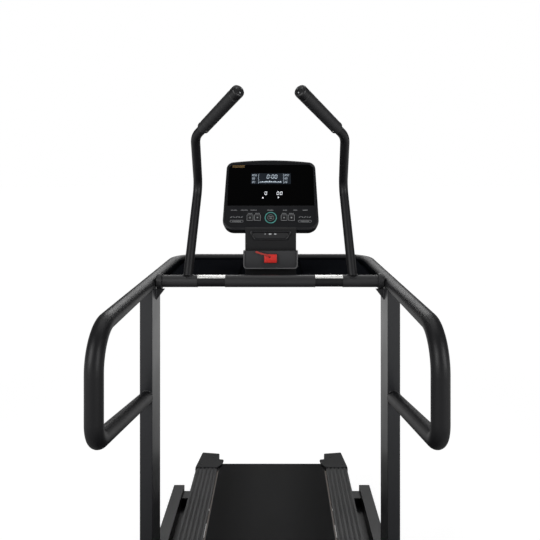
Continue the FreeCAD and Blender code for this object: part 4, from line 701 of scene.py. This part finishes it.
def lit(name, colour, strength):
    """A glowing finish with slightly uneven brightness."""
    material = bpy.data.materials.new(name)
    material.use_nodes = True
    nodes, join = material.node_tree.nodes, material.node_tree.links.new
    shader = nodes["Principled BSDF"]
    place = nodes.new("ShaderNodeTexCoord")
    patches = nodes.new("ShaderNodeTexNoise")
    patches.inputs["Scale"].default_value = 160
    shade = nodes.new("ShaderNodeMix")
    shade.data_type = "RGBA"
    shade.inputs["A"].default_value = (*[part * 0.8 for part in colour], 1)
    shade.inputs["B"].default_value = (*colour, 1)
    join(place.outputs["Object"], patches.inputs["Vector"])
    join(patches.outputs["Fac"], shade.inputs["Factor"])
    join(shade.outputs["Result"], shader.inputs["Base Color"])
    join(shade.outputs["Result"], shader.inputs["Emission Color"])
    shader.inputs["Emission Strength"].default_value = strength
    shader.inputs["Roughness"].default_value = 0.4
    return material


lcd_back = lit("lcd_back", (0.003, 0.007, 0.013), 0.3)
lcd_line = lit("lcd_line", (0.50, 0.58, 0.66), 0.7)
lamp_white = lit("lamp_white", (0.92, 0.95, 1.0), 0.8)
print_grey = finish_of("print_grey", (0.34, 0.35, 0.36), 0.5, scale=2000, wear=0.0)
print_teal = finish_of("print_teal", (0.10, 0.42, 0.38), 0.4, scale=2000, wear=0.0)
trim_gold = finish_of("trim_gold", (0.55, 0.36, 0.16), 0.35, metal=1.0, scale=1500, wear=0.0)
window = rounded(oblong(-0.083, 0.203, 0.083, 0.252), [0.002] * 4, 3)
printed("lcd_window", [window], LENS, lcd_back, slot="display")
BARS_UP = 0.2118
lcd_shapes = [oblong(-0.050, 0.2100, 0.045, 0.2107), oblong(-0.052, 0.205, -0.0512, 0.250),
              oblong(0.052, 0.205, 0.0528, 0.250)]
for number, tall in enumerate((2, 4, 3, 5, 4, 6, 4, 3, 5, 2, 3, 4)):
    x = -0.046 + 0.0076 * number
    lcd_shapes.append(oblong(x, BARS_UP, x + 0.0052, BARS_UP + 0.0009 * tall))
lcd_shapes += number_row("0:00", -0.017, 0.2285, 0.0085, 0.0165, 0.0019, 0.0135)
for x in (-0.078, 0.057):
    for text, up in (("000", 0.2395), ("0.0", 0.2245), ("00", 0.2085)):
        lcd_shapes += number_row(text, x, up, 0.0038, 0.0075, 0.0009, 0.0066)
printed("lcd_figures", lcd_shapes, LENS + 0.0002, lcd_line, slot="display")
lamp_shapes = number_row("0", -0.0255, 0.1545, 0.0080, 0.0130, 0.0017, 0.014)
lamp_shapes += number_row("00", 0.0245, 0.1545, 0.0080, 0.0130, 0.0017, 0.0135)
lamp_shapes += [[(-0.0365, 0.1385), (-0.0295, 0.1385), (-0.0330, 0.1455)],
                oblong(0.0290, 0.1385, 0.0308, 0.1455),
                [(0.0318, 0.1405), (0.0343, 0.1425), (0.0318, 0.1455)]]
printed("lamp_digits", lamp_shapes, LENS, lamp_white, slot="display")
printed("corner_trim", [oblong(-0.163, 0.2865, -0.110, 0.2892), oblong(-0.163, 0.2795, -0.112, 0.2842)],
        LENS, trim_gold)
DASH_PITCH = 0.0042
DASH_WIDE = 0.0034
label_shapes = []
for x, wide in ((-0.162, 0.028), (-0.122, 0.030), (-0.082, 0.026), (-0.014, 0.028), (0.050, 0.020),
                (0.092, 0.018), (0.130, 0.024)):
    for number in range(int(wide / DASH_PITCH)):
        tall = 0.0030 if (number * 7 + int(wide * 1000)) % 3 else 0.0022
        start = x + DASH_PITCH * number
        label_shapes.append(oblong(start, LABEL_UP, start + 0.0031, LABEL_UP + tall))
for x in (-0.165, 0.111):
    label_shapes += frame_outline(x, 0.0330, x + 0.054, 0.0430, 0.0048, 0.0011)
    for number in range(7):
        start = x + 0.010 + 0.005 * number
        label_shapes.append(oblong(start, 0.0366, start + DASH_WIDE, 0.0392))
for x0 in (-0.163, 0.114):
    for number, step in enumerate((0.0, 0.003, -0.001, 0.002, 0.0)):
        x = x0 + 0.0105 * number
        label_shapes.append([(x, 0.0530 + step), (x + 0.007, 0.0560 - step), (x + 0.007, 0.0585 - step),
                             (x, 0.0555 + step)])
for x in (-0.084, -0.054, 0.054, 0.084):
    for number in range(4):
        start = x - 0.009 + 0.0048 * number
        label_shapes.append(oblong(start, 0.0706, start + DASH_WIDE, 0.0730))
printed("panel_print", label_shapes, 0.0, print_grey)
key_plastic = finish_of("key_plastic", (0.0085, 0.0085, 0.0098), 0.36, scale=1500, radius=0.0008, wear=0.2,
                        worn=(0.04, 0.04, 0.04))
teal_key = finish_of("start_plastic", (0.006, 0.009, 0.009), 0.3, scale=1500, radius=0.0012, wear=0.2,
                     worn=(0.04, 0.04, 0.04))
give(key_plastic, "key_mode", "key_down", "key_up", "key_stop")
give(teal_key, "key_start")
KEY_HALF = 0.0126
for name, x, marks in (("mode", -0.084, "dot"), ("down", -0.054, "down"), ("up", 0.054, "up"),
                       ("stop", 0.084, "square")):
    shapes = frame_outline(x - KEY_HALF, ROW - KEY_HALF, x + KEY_HALF, ROW + KEY_HALF, 0.0022, 0.0013)
    if marks == "dot":
        shapes += ring_outline(x, ROW, 0.0038, 0.0014, 20)
    elif marks == "square":
        shapes.append(oblong(x - 0.003, ROW - 0.003, x + 0.003, ROW + 0.003))
    else:
        turn = 1 if marks == "up" else -1
        shapes.append([(x - 0.004, ROW - 0.0026 * turn), (x + 0.004, ROW - 0.0026 * turn),
                       (x, ROW + 0.0036 * turn)])
    printed("key_mark_" + name, shapes, KEY_TOP, print_grey, name + "_key", "key_plastic")
printed("start_ring", ring_outline(0, ROW, 0.0242, 0.0030), KEY_TOP, print_teal, "start_key", "start_plastic")
printed("start_mark", ring_outline(0, ROW, 0.0128, 0.0010)
        + [oblong(-0.0072, ROW + 0.0022, 0.0072, ROW + 0.0046),
           oblong(-0.0052, ROW - 0.0046, 0.0052, ROW - 0.0022)],
        KEY_TOP, print_grey, "start_key", "start_plastic")
# A thin near-black line drawn flat on the face where the key panel steps down: painted shade along the step
# edge.
panel_line = [[(-0.178, 0.1045), (-0.072, 0.1045), (-0.066, 0.1005), (-0.066, 0.0998), (-0.0725, 0.1038),
               (-0.178, 0.1038)]]
panel_line.append([(-point[0], point[1]) for point in reversed(panel_line[0])])
panel_line.append([(-0.066, 0.1005), (-0.066, 0.0998), (0.066, 0.0998), (0.066, 0.1005)])
printed("panel_step", panel_line, 0.0, seam_and_shade_black)


# ---- Neck, key shelf and safety key
# A welded post carries the console. Two plastic covers hide it; the front one has a small
# port bay under the console, and below it a rimmed shelf holds the red safety key.

give(frame_coat, "neck_mast")
give(shell_plastic, "neck_cover")
shelf_plastic = finish_of("shelf_plastic", (0.030, 0.0305, 0.033), 0.38, scale=900, depth=0.0001,
                          radius=0.002, wear=0.25, worn=(0.09, 0.09, 0.093))
give(shelf_plastic, "key_shelf")
cover_low, cover_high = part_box("neck_cover")
shelf_low, shelf_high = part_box("key_shelf")
bay_front = cover_low.y
bay_plastic = finish_of("bay_plastic", (0.010, 0.010, 0.0115), 0.3, scale=1300, radius=0.0012, wear=0.3,
                        worn=(0.06, 0.06, 0.063))
BAY_LOW, BAY_TOP, SIGNS_UP = 1.3280, 1.3640, 1.3520
bay = []
for inset, out in ((0.0, 0.0), (0.0, 0.0050), (0.0014, 0.0066), (0.0032, 0.0070), (0.0052, 0.0056),
                   (0.0075, 0.0012)):
    corners = [(-0.066 + inset, BAY_LOW + inset), (0.066 - inset, BAY_LOW + inset),
               (0.086 - inset, BAY_TOP - inset), (-0.086 + inset, BAY_TOP - inset)]
    bay.append([Vector((x, bay_front - out, z)) for x, z in rounded(corners, [0.006] * 4, 5)])
piece("port_bay", *skin(bay), bay_plastic, "frame", "shell_plastic")
signs = []
for x, wide, tall in ((-0.022, 0.004, 0.004), (-0.002, 0.011, 0.005), (0.018, 0.009, 0.004)):
    hole = rounded(oblong(x - wide / 2, SIGNS_UP - tall / 2, x + wide / 2, SIGNS_UP + tall / 2),
                   [tall * 0.4] * 4, 4)
    signs.append(skin([[Vector((a, bay_front - 0.0010, b)) for a, b in hole],
                       [Vector((a, bay_front - 0.0016, b)) for a, b in hole]]))
piece("port_signs", *merged(signs), button_mark, "frame", "button_light")
crease = block((cover_low.x - 0.0004, bay_front - 0.0009, shelf_high.z + 0.0002),
               (cover_high.x + 0.0004, bay_front + 0.004, shelf_high.z + 0.0016), 0.0004, 2)
piece("cover_crease", *crease, seam_and_shade_black, "frame", "shell_plastic")
# Light grey bead along the shelf's front rim: its light colour is a painted highlight standing in for the
# shine along the rim edge.
rim_painted_highlight = finish_of("shelf_rim_painted_highlight", (0.16, 0.16, 0.165), 0.34, scale=1500, radius=0.001, wear=0.3,
                        worn=(0.25, 0.25, 0.25))
path = rounded([(shelf_low.x + 0.003, shelf_high.z + 0.02), (shelf_low.x + 0.003, shelf_low.z + 0.003),
                (shelf_high.x - 0.003, shelf_low.z + 0.003), (shelf_high.x - 0.003, shelf_high.z + 0.02)],
               [0, 0.011, 0.011, 0], 8)
path = [(x, min(z, shelf_high.z - 0.0005)) for x, z in path]
trim = bead([(x, shelf_low.y, z) for x, z in path], 0.0016, closed=False, around=10, ripple=0.0)
piece("shelf_trim", *trim, rim_painted_highlight, "frame", "shell_plastic")

red = finish_of("safety_red", (0.70, 0.025, 0.018), 0.38, scale=1500, depth=0.00004, radius=0.001, wear=0.2,
                worn=(0.8, 0.2, 0.16), spread=0.06)
dark_red = finish_of("strap_red", (0.42, 0.03, 0.02), 0.62, scale=2600, stretch=(1, 4, 1), depth=0.0002,
                     wear=0.3, worn=(0.6, 0.18, 0.14))
HEAD_UP, HEAD_HALF_TALL, HEAD_HALF_WIDE = 1.259, 0.0165, 0.025
key_low, key_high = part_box("safety_key")
head_low = Vector((-HEAD_HALF_WIDE, key_low.y, HEAD_UP - HEAD_HALF_TALL))
head_high = Vector((HEAD_HALF_WIDE, key_low.y + 0.015, HEAD_UP + HEAD_HALF_TALL))
head = [block(head_low, head_high, 0.0028, 4),
        block((-0.0098, head_high.y - 0.001, 1.2542), (0.0098, key_high.y, 1.2638), 0.0012)]
rib = [block((-0.0215, head_low.y - 0.0011, 1.2470 + 0.0052 * number),
             (0.0215, head_low.y + 0.002, 1.2492 + 0.0052 * number), 0.0009, 2) for number in range(2)]
key_head = piece("key_head", *merged(head + rib), red, "safety_key", "safety_red")
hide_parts("safety_key")
# The strap's eye is a near-black disc on the key head: painted shade standing in for the hole.
eye = turned([(0.0, -0.0002), (0.0036, -0.0002), (0.0040, 0.0006), (0.0032, 0.0010), (0.0, 0.0010)],
             (-0.004, head_low.y - 0.0008, 1.2665), (0, 1, 0), 32)
piece("key_eye", *eye, seam_and_shade_black, "safety_key", "safety_red")
spine = [Vector((-0.004, head_low.y - 0.0016, 1.2668)), Vector((-0.010, head_low.y - 0.0040, 1.2715)),
         Vector((-0.022, head_low.y - 0.0035, 1.2760)), Vector((-0.036, head_low.y - 0.0010, 1.2790)),
         Vector((-0.050, head_low.y + 0.0015, 1.2835)), Vector((-0.0585, head_low.y + 0.0030, 1.2868))]
samples = []
for index in range(len(spine) - 1):
    for step in range(6):
        before = spine[max(index - 1, 0)]
        after = spine[min(index + 2, len(spine) - 1)]
        t = step / 6
        a, b = spine[index], spine[index + 1]
        samples.append(0.5 * ((2 * a) + (b - before) * t + (2 * before - 5 * a + 4 * b - after) * t * t
                              + (3 * a - before - 3 * b + after) * t ** 3))
samples.append(spine[-1])
strap = []
for index, point in enumerate(samples):
    ahead = (samples[min(index + 1, len(samples) - 1)] - samples[max(index - 1, 0)]).normalized()
    wide = Vector((0, -1, 0)).cross(ahead).normalized()
    thick = ahead.cross(wide).normalized()
    half = 0.0036 * (1 - 0.15 * math.cos(index * 0.9))
    strap.append([point + wide * x * half + thick * y * 0.0008 for x, y in
                  ((-1, -0.6), (-0.8, -1), (0.8, -1), (1, -0.6), (1, 0.6), (0.8, 1), (-0.8, 1), (-1, 0.6))])
tail = piece("key_strap", *skin(strap), dark_red, "safety_key", "safety_red")
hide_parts("safety_key")


# ---- Deck frame and running board
# Two box-section beams and cross tubes carry a waxed plywood board on rubber mounts. The
# woven belt has a fine diamond face, and rides over the board between two steel rollers.

deck_coat = finish_of("deck_coat", (0.010, 0.010, 0.011), 0.48, scale=1200, radius=0.003, wear=0.3,
                      worn=(0.05, 0.05, 0.05))
give(deck_coat, "deck_beams", "deck_crossmembers", "lift_frame")
give(zinc, "deck_axles", "actuator_rod")
mount_rubber = finish_of("mount_rubber", (0.02, 0.02, 0.02), 0.75, scale=1500, depth=0.0001)
give(mount_rubber, "deck_cushions")


def belt_finish():
    """Running belt: crossed fine ribs make a diamond face, slightly polished where feet land."""
    material = bpy.data.materials.new("belt_face")
    material.use_nodes = True
    nodes, join = material.node_tree.nodes, material.node_tree.links.new
    shader = nodes["Principled BSDF"]
    place = nodes.new("ShaderNodeTexCoord")
    ribs = []
    for angle in (35, -35):
        turn = nodes.new("ShaderNodeMapping")
        turn.inputs["Rotation"].default_value = (0, 0, math.radians(angle))
        wave = nodes.new("ShaderNodeTexWave")
        wave.inputs["Scale"].default_value = 88
        join(place.outputs["Object"], turn.inputs["Vector"])
        join(turn.outputs["Vector"], wave.inputs["Vector"])
        ribs.append(wave)
    crossed = nodes.new("ShaderNodeMath")
    crossed.operation = "MULTIPLY"
    join(ribs[0].outputs["Fac"], crossed.inputs[0])
    join(ribs[1].outputs["Fac"], crossed.inputs[1])
    texture = nodes.new("ShaderNodeGroup")
    texture.node_tree = grain
    texture.inputs["Scale"].default_value = 1500
    total = nodes.new("ShaderNodeMath")
    total.operation = "ADD"
    join(crossed.outputs["Value"], total.inputs[0])
    join(texture.outputs["Height"], total.inputs[1])
    bump = nodes.new("ShaderNodeBump")
    bump.inputs["Distance"].default_value = 0.0003
    join(total.outputs["Value"], bump.inputs["Height"])
    join(bump.outputs["Normal"], shader.inputs["Normal"])
    split = nodes.new("ShaderNodeSeparateXYZ")
    join(place.outputs["Object"], split.inputs["Vector"])
    off_middle = nodes.new("ShaderNodeMath")
    off_middle.operation = "ABSOLUTE"
    join(split.outputs["X"], off_middle.inputs[0])
    worn = nodes.new("ShaderNodeMapRange")
    worn.inputs["From Min"].default_value = 0.06
    worn.inputs["From Max"].default_value = 0.2
    worn.inputs["To Min"].default_value = 0.50
    worn.inputs["To Max"].default_value = 0.64
    join(off_middle.outputs["Value"], worn.inputs["Value"])
    join(worn.outputs["Result"], shader.inputs["Roughness"])
    shader.inputs["Specular IOR Level"].default_value = 0.12
    shade = nodes.new("ShaderNodeMix")
    shade.data_type = "RGBA"
    shade.inputs["A"].default_value = (0.004, 0.004, 0.0045, 1)
    shade.inputs["B"].default_value = (0.009, 0.0093, 0.010, 1)
    join(crossed.outputs["Value"], shade.inputs["Factor"])
    join(shade.outputs["Result"], shader.inputs["Base Color"])
    return material


deck_timber = finish_of("deck_timber", (0.085, 0.055, 0.036), 0.4, scale=120, stretch=(1, 0.06, 6),
                        depth=0.0001, radius=0.001, wear=0.6, worn=(0.30, 0.20, 0.12), spread=0.35)
give(deck_timber, "deck_board")
give(belt_finish(), "running_belt")
belt_low, belt_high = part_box("running_belt")
EDGE_INSET = 0.0010
edges = []
for side in (-1, 1):
    edge_x = side * (belt_high.x - 0.0004)
    loop = []
    radius = (belt_high.z - belt_low.z) / 2 - EDGE_INSET
    middle_z = (belt_high.z + belt_low.z) / 2
    for first, hub_y in ((0, belt_high.y - radius - EDGE_INSET), (math.pi, belt_low.y + radius + EDGE_INSET)):
        for step in range(41):
            turn = first + math.pi * step / 40
            loop.append((edge_x, hub_y + radius * math.sin(turn), middle_z + radius * math.cos(turn)))
    edges.append(bead(loop, 0.00125, around=6, ripple=0.0))
piece("belt_edges", *merged(edges), sleeve_rubber, "deck", "belt_rubber")


# ---- Foot rails and corner caps
# Extruded aluminium rails, black anodised, with five ribs to stand on. A textured plastic
# cap closes each corner and is held by two cross-head screws.

rail_alloy = finish_of("rail_alloy", (0.014, 0.0145, 0.0155), 0.42, metal=0.3, scale=240,
                       stretch=(18, 1, 18), depth=0.00008, radius=0.0012, wear=0.55,
                       worn=(0.08, 0.083, 0.086))
cap_plastic = finish_of("corner_plastic", (0.009, 0.0093, 0.0105), 0.55, scale=700, depth=0.00022,
                        radius=0.002, wear=0.25, worn=(0.05, 0.05, 0.053), gloss=0.25)
give(rail_alloy, "foot_rail_left", "foot_rail_right")
give(cap_plastic, "front_caps", "rear_caps", "motor_cover")
FIRST_STRIP, STRIP_PITCH, STRIP_HALF = 0.2635, 0.018, 0.0036
strips = []
for name, side in (("foot_rail_left", -1), ("foot_rail_right", 1)):
    low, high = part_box(name)
    for number in range(5):
        x = side * (FIRST_STRIP + STRIP_PITCH * number)
        strips.append(block((x - STRIP_HALF, low.y + 0.004, high.z - 0.0006),
                            (x + STRIP_HALF, high.y - 0.004, high.z + 0.0008), 0.0006, 2))
strip_rubber = finish_of("tread_rubber", (0.020, 0.020, 0.021), 0.62, scale=900, depth=0.0003, wear=0.3,
                         worn=(0.07, 0.07, 0.07))
piece("tread_strips", *merged(strips), strip_rubber, "deck", "foot_alloy")


def cross_screw(at, ahead, radius=0.0042):
    """A pan-head screw with a cross slot."""
    at, ahead = Vector(at), Vector(ahead).normalized()
    side = ahead.orthogonal().normalized()
    other = ahead.cross(side)
    head = turned([(radius * 0.9, 0), (radius, 0.0004), (radius * 0.94, 0.0012), (radius * 0.7, 0.0018),
                   (radius * 0.3, 0.0021), (0, 0.0022)], at, ahead, 28)
    slots = []
    for way, across in ((side, other), (other, side)):
        flat = [at + ahead * 0.00195 + way * x * radius * 0.52 + across * y * radius * 0.11
                for x, y in oblong(-1, -1, 1, 1)]
        slots.append(skin([flat, [point + ahead * 0.0003 for point in flat]]))
    return head, slots


heads, slots = [], []
cap_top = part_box("front_caps")[1].z
for side in (-1, 1):
    for x, y in ((0.278, 0.728), (0.328, 0.664), (0.266, -0.752), (0.330, -0.708)):
        head, cuts = cross_screw((side * x, y, cap_top - 0.0002), UP)
        heads.append(head)
        slots += cuts
black_screw = finish_of("black_screw", (0.012, 0.012, 0.012), 0.32, metal=0.6, scale=1500, radius=0.0004,
                        wear=0.3)
piece("cap_screws", *merged(heads), black_screw, "deck", "bare_steel")
# The cross slots are near-black slabs on the screw heads: painted shade standing in for the recesses.
piece("cap_screw_slots", *merged(slots), seam_and_shade_black, "deck", "bare_steel")


# ---- Rollers, motor and drive belt
# Turned steel rollers on fixed axles. A black enamelled motor drives the front roller by a
# ribbed belt; its iron flywheel has a ring of lightening holes, its end bells cooling slots.

roller_steel = finish_of("roller_steel", (0.46, 0.46, 0.45), 0.3, metal=1.0, scale=500, stretch=(20, 1, 1),
                         depth=0.00003, radius=0.001, wear=0.3, worn=(0.7, 0.7, 0.7), spread=0.08)
enamel = finish_of("motor_enamel", (0.012, 0.012, 0.013), 0.28, scale=1200, depth=0.00008, radius=0.002,
                   wear=0.3, coat=0.3)
iron = finish_of("machined_iron", (0.12, 0.12, 0.125), 0.4, metal=0.8, scale=600, depth=0.00006, radius=0.001,
                 wear=0.5, worn=(0.35, 0.35, 0.35))
drive_rubber = finish_of("drive_rubber", (0.014, 0.014, 0.015), 0.6, scale=400, stretch=(6, 0.4, 0.4),
                         depth=0.0004, wear=0.1)
give(roller_steel, "front_roller", "rear_roller")
give(enamel, "drive_motor", "actuator_body")
give(iron, "motor_pulley")
give(drive_rubber, "drive_belt")
motor_low, motor_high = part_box("drive_motor")
shaft = Vector((0, (motor_low.y + motor_high.y) / 2, (motor_low.z + motor_high.z) / 2))
grooves = []
for step in range(16):
    turn = 2 * math.pi * step / 16
    way = Vector((0, math.cos(turn), math.sin(turn)))
    at = shaft + way * 0.0548
    tangent = Vector((0, -math.sin(turn), math.cos(turn)))
    ring = [at + tangent * y + way * z for y, z in ((-0.0016, -0.001), (0.0016, -0.001), (0.0012, 0.0008),
                                                   (-0.0012, 0.0008))]
    grooves.append(skin([[point + Vector((motor_low.x + 0.02, 0, 0)) for point in ring],
                         [point + Vector((motor_high.x - 0.02, 0, 0)) for point in ring]]))
piece("motor_fins", *merged(grooves), enamel, "deck", "motor_paint")
wheel_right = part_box("motor_pulley")[1].x
pulley_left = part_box("front_roller")[0].x
ROLLER_Y, ROLLER_UP = 0.673, 0.188
spokes, holes = [], []
for step in range(8):
    turn = 2 * math.pi * step / 8
    at = shaft + Vector((0, 0.034 * math.cos(turn), 0.034 * math.sin(turn)))
    spokes.append(turned([(0.0, 0.0), (0.0062, 0.0), (0.0066, 0.0004), (0.0066, 0.0006), (0.0, 0.0006)],
                         (wheel_right - 0.0002, at.y, at.z), ACROSS, 24))
    at = Vector((0, ROLLER_Y + 0.0235 * math.cos(turn), ROLLER_UP + 0.0235 * math.sin(turn)))
    holes.append(turned([(0.0, 0.0), (0.0038, 0.0), (0.0042, 0.0004), (0.0, 0.0005)],
                        (pulley_left, at.y, at.z), (-1, 0, 0), 20))
# The lightening holes in the flywheel and pulley are near-black discs: painted shade standing in for the
# openings.
piece("flywheel_holes", *merged(spokes), seam_and_shade_black, "motor_shaft", "flywheel_iron")
piece("pulley_holes", *merged(holes), seam_and_shade_black, "front_roller", "roller_steel")


# ---- Lift
# A welded frame with a nylon wheel on each arm lifts the front of the deck. A screw
# actuator under the deck pushes the frame's lever through a plain steel rod.

nylon = finish_of("nylon_wheel", (0.018, 0.018, 0.018), 0.42, scale=1100, depth=0.0001, radius=0.0015,
                  wear=0.4, worn=(0.08, 0.08, 0.08))
give(nylon, "lift_wheels")
lift_low, lift_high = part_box("lift_wheels")
hub_y, hub_z = (lift_low.y + lift_high.y) / 2, (lift_low.z + lift_high.z) / 2
caps, pockets = [], []
for x, out in ((lift_low.x, -1), (lift_high.x, 1)):
    caps.append(turned([(0.0082, 0.0), (0.0125, 0.0), (0.0130, 0.0006), (0.0118, 0.0018), (0.0082, 0.0022)],
                       (x, hub_y, hub_z), (out, 0, 0), 32))
    for step in range(6):
        turn = 2 * math.pi * step / 6
        place = (x, hub_y + 0.0195 * math.cos(turn), hub_z + 0.0195 * math.sin(turn))
        pockets.append(turned([(0.0, 0.0), (0.0030, 0.0), (0.0030, 0.0004), (0.0, 0.0004)],
                              place, (out, 0, 0), 18))
piece("wheel_hubs", *merged(caps), zinc, "lift_wheel_set", "bare_steel")
# The hub pockets are near-black discs: painted shade standing in for the recesses.
piece("wheel_pockets", *merged(pockets), seam_and_shade_black, "lift_wheel_set", "wheel_plastic")


# ---- Mains inlet and switch
# A small moulded box on the front cross tube holds a three-pin inlet and a rocker switch
# with its two positions marked by a bar and a ring.

give(shell_plastic, "power_inlet")
give(key_plastic, "power_switch")
inlet_low, inlet_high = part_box("power_inlet")
pins = []
for x, z in ((0.0175, 0.0215), (0.0295, 0.0215), (0.0235, 0.0135)):
    pins.append(block((inlet_low.x + x - 0.001, inlet_low.y + 0.0095, inlet_low.z + z - 0.002),
                      (inlet_low.x + x + 0.001, inlet_high.y - 0.004, inlet_low.z + z + 0.002), 0.0005, 2))
piece("inlet_pins", *merged(pins), zinc, "frame", "bare_steel")
rocker_low, rocker_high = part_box("power_switch")
middle_x = (rocker_low.x + rocker_high.x) / 2
bar = block((middle_x - 0.0006, rocker_high.y - 0.0012, rocker_high.z - 0.0068),
            (middle_x + 0.0006, rocker_high.y - 0.0004, rocker_high.z - 0.0030), 0.0003, 2)
ring = turned([(0.0014, 0.0), (0.0021, 0.0), (0.0021, 0.0006), (0.0014, 0.0006)],
              (middle_x, rocker_high.y - 0.0011, rocker_low.z + 0.0048), (0, 1, 0), 28)
piece("switch_marks", *merged([bar, ring]), button_mark, "rocker", "button_light")


# ---- Studio
# A wide pale floor that fades to plain white, four soft lights, and a camera at standing
# height behind the deck.

def studio_floor():
    """Pale matt floor, fading outward to even white."""
    material = bpy.data.materials.new("studio_floor")
    material.use_nodes = True
    nodes, join = material.node_tree.nodes, material.node_tree.links.new
    shader = nodes["Principled BSDF"]
    shader.inputs["Roughness"].default_value = 0.8
    shader.inputs["Specular IOR Level"].default_value = 0.1
    place = nodes.new("ShaderNodeTexCoord")
    reach = nodes.new("ShaderNodeVectorMath")
    reach.operation = "LENGTH"
    fade = nodes.new("ShaderNodeMapRange")
    fade.inputs["From Min"].default_value = 0.9
    fade.inputs["From Max"].default_value = 3.4
    white = nodes.new("ShaderNodeMix")
    white.data_type = "RGBA"
    white.inputs["A"].default_value = (0.30, 0.30, 0.30, 1)
    white.inputs["B"].default_value = (0.0, 0.0, 0.0, 1)
    glow = nodes.new("ShaderNodeMix")
    glow.data_type = "RGBA"
    glow.inputs["A"].default_value = (0.84, 0.84, 0.84, 1)
    glow.inputs["B"].default_value = (1.0, 1.0, 1.0, 1)
    join(place.outputs["Object"], reach.inputs[0])
    join(reach.outputs["Value"], fade.inputs["Value"])
    join(fade.outputs["Result"], white.inputs["Factor"])
    join(fade.outputs["Result"], glow.inputs["Factor"])
    join(white.outputs["Result"], shader.inputs["Base Color"])
    join(glow.outputs["Result"], shader.inputs["Emission Color"])
    seen = nodes.new("ShaderNodeLightPath")
    bounce = nodes.new("ShaderNodeMath")
    bounce.operation = "MULTIPLY"
    bounce.inputs[1].default_value = 0.66
    power = nodes.new("ShaderNodeMix")
    power.inputs["B"].default_value = 1.0
    join(fade.outputs["Result"], bounce.inputs[0])
    join(bounce.outputs["Value"], power.inputs["A"])
    join(seen.outputs["Is Camera Ray"], power.inputs["Factor"])
    join(power.outputs["Result"], shader.inputs["Emission Strength"])
    return material


bpy.ops.mesh.primitive_circle_add(vertices=96, radius=60, fill_type="NGON", location=(0, 0, 0))
floor = bpy.context.object
floor.name = "floor"
floor.data.materials.append(studio_floor())

world = bpy.data.worlds.new("studio")
bpy.context.scene.world = world
world.use_nodes = True
sky, wire = world.node_tree.nodes, world.node_tree.links.new
seen = sky.new("ShaderNodeLightPath")
way = sky.new("ShaderNodeTexCoord")
parts = sky.new("ShaderNodeSeparateXYZ")
ahead = sky.new("ShaderNodeMapRange")
ahead.inputs["From Min"].default_value = -0.9
ahead.inputs["From Max"].default_value = 0.9
ahead.inputs["To Min"].default_value = 0.10
ahead.inputs["To Max"].default_value = 0.14
tone = sky.new("ShaderNodeMix")
tone.data_type = "RGBA"
tone.inputs["B"].default_value = (1.0, 1.0, 1.0, 1)
wire(way.outputs["Generated"], parts.inputs["Vector"])
wire(parts.outputs["Y"], ahead.inputs["Value"])
wire(ahead.outputs["Result"], tone.inputs["A"])
wire(seen.outputs["Is Camera Ray"], tone.inputs["Factor"])
wire(tone.outputs["Result"], sky["Background"].inputs["Color"])
for name, spot, aim, wide, tall, power in (
        ("key", (-2.6, -3.0, 2.5), (0, 0, 1.0), 1.8, 2.6, 85),
        ("fill", (2.8, -2.8, 2.2), (0, 0, 1.0), 1.6, 2.6, 65),
        ("top", (0.0, 0.8, 4.4), (0, 0, 0.4), 3.6, 3.0, 34),
        ("back", (0.0, 3.6, 3.0), (0, 0, 1.0), 3.0, 1.2, 40)):
    data = bpy.data.lights.new(name, "AREA")
    data.shape = "RECTANGLE"
    data.size, data.size_y, data.energy = wide, tall, power
    lamp = bpy.data.objects.new(name, data)
    lamp.location = spot
    lamp.rotation_euler = (Vector(aim) - Vector(spot)).to_track_quat("-Z", "Y").to_euler()
    bpy.context.scene.collection.objects.link(lamp)
bpy.context.scene.view_settings.view_transform = "Standard"

lens = bpy.data.cameras.new("camera")
lens.lens = 37.33
lens.shift_x = -0.0128
lens.shift_y = -0.1815
camera = bpy.data.objects.new("camera", lens)
camera.location = (0.025, -1.95, 1.60)
camera.rotation_euler = (math.radians(90), 0, 0)
bpy.context.scene.collection.objects.link(camera)
bpy.context.scene.camera = camera
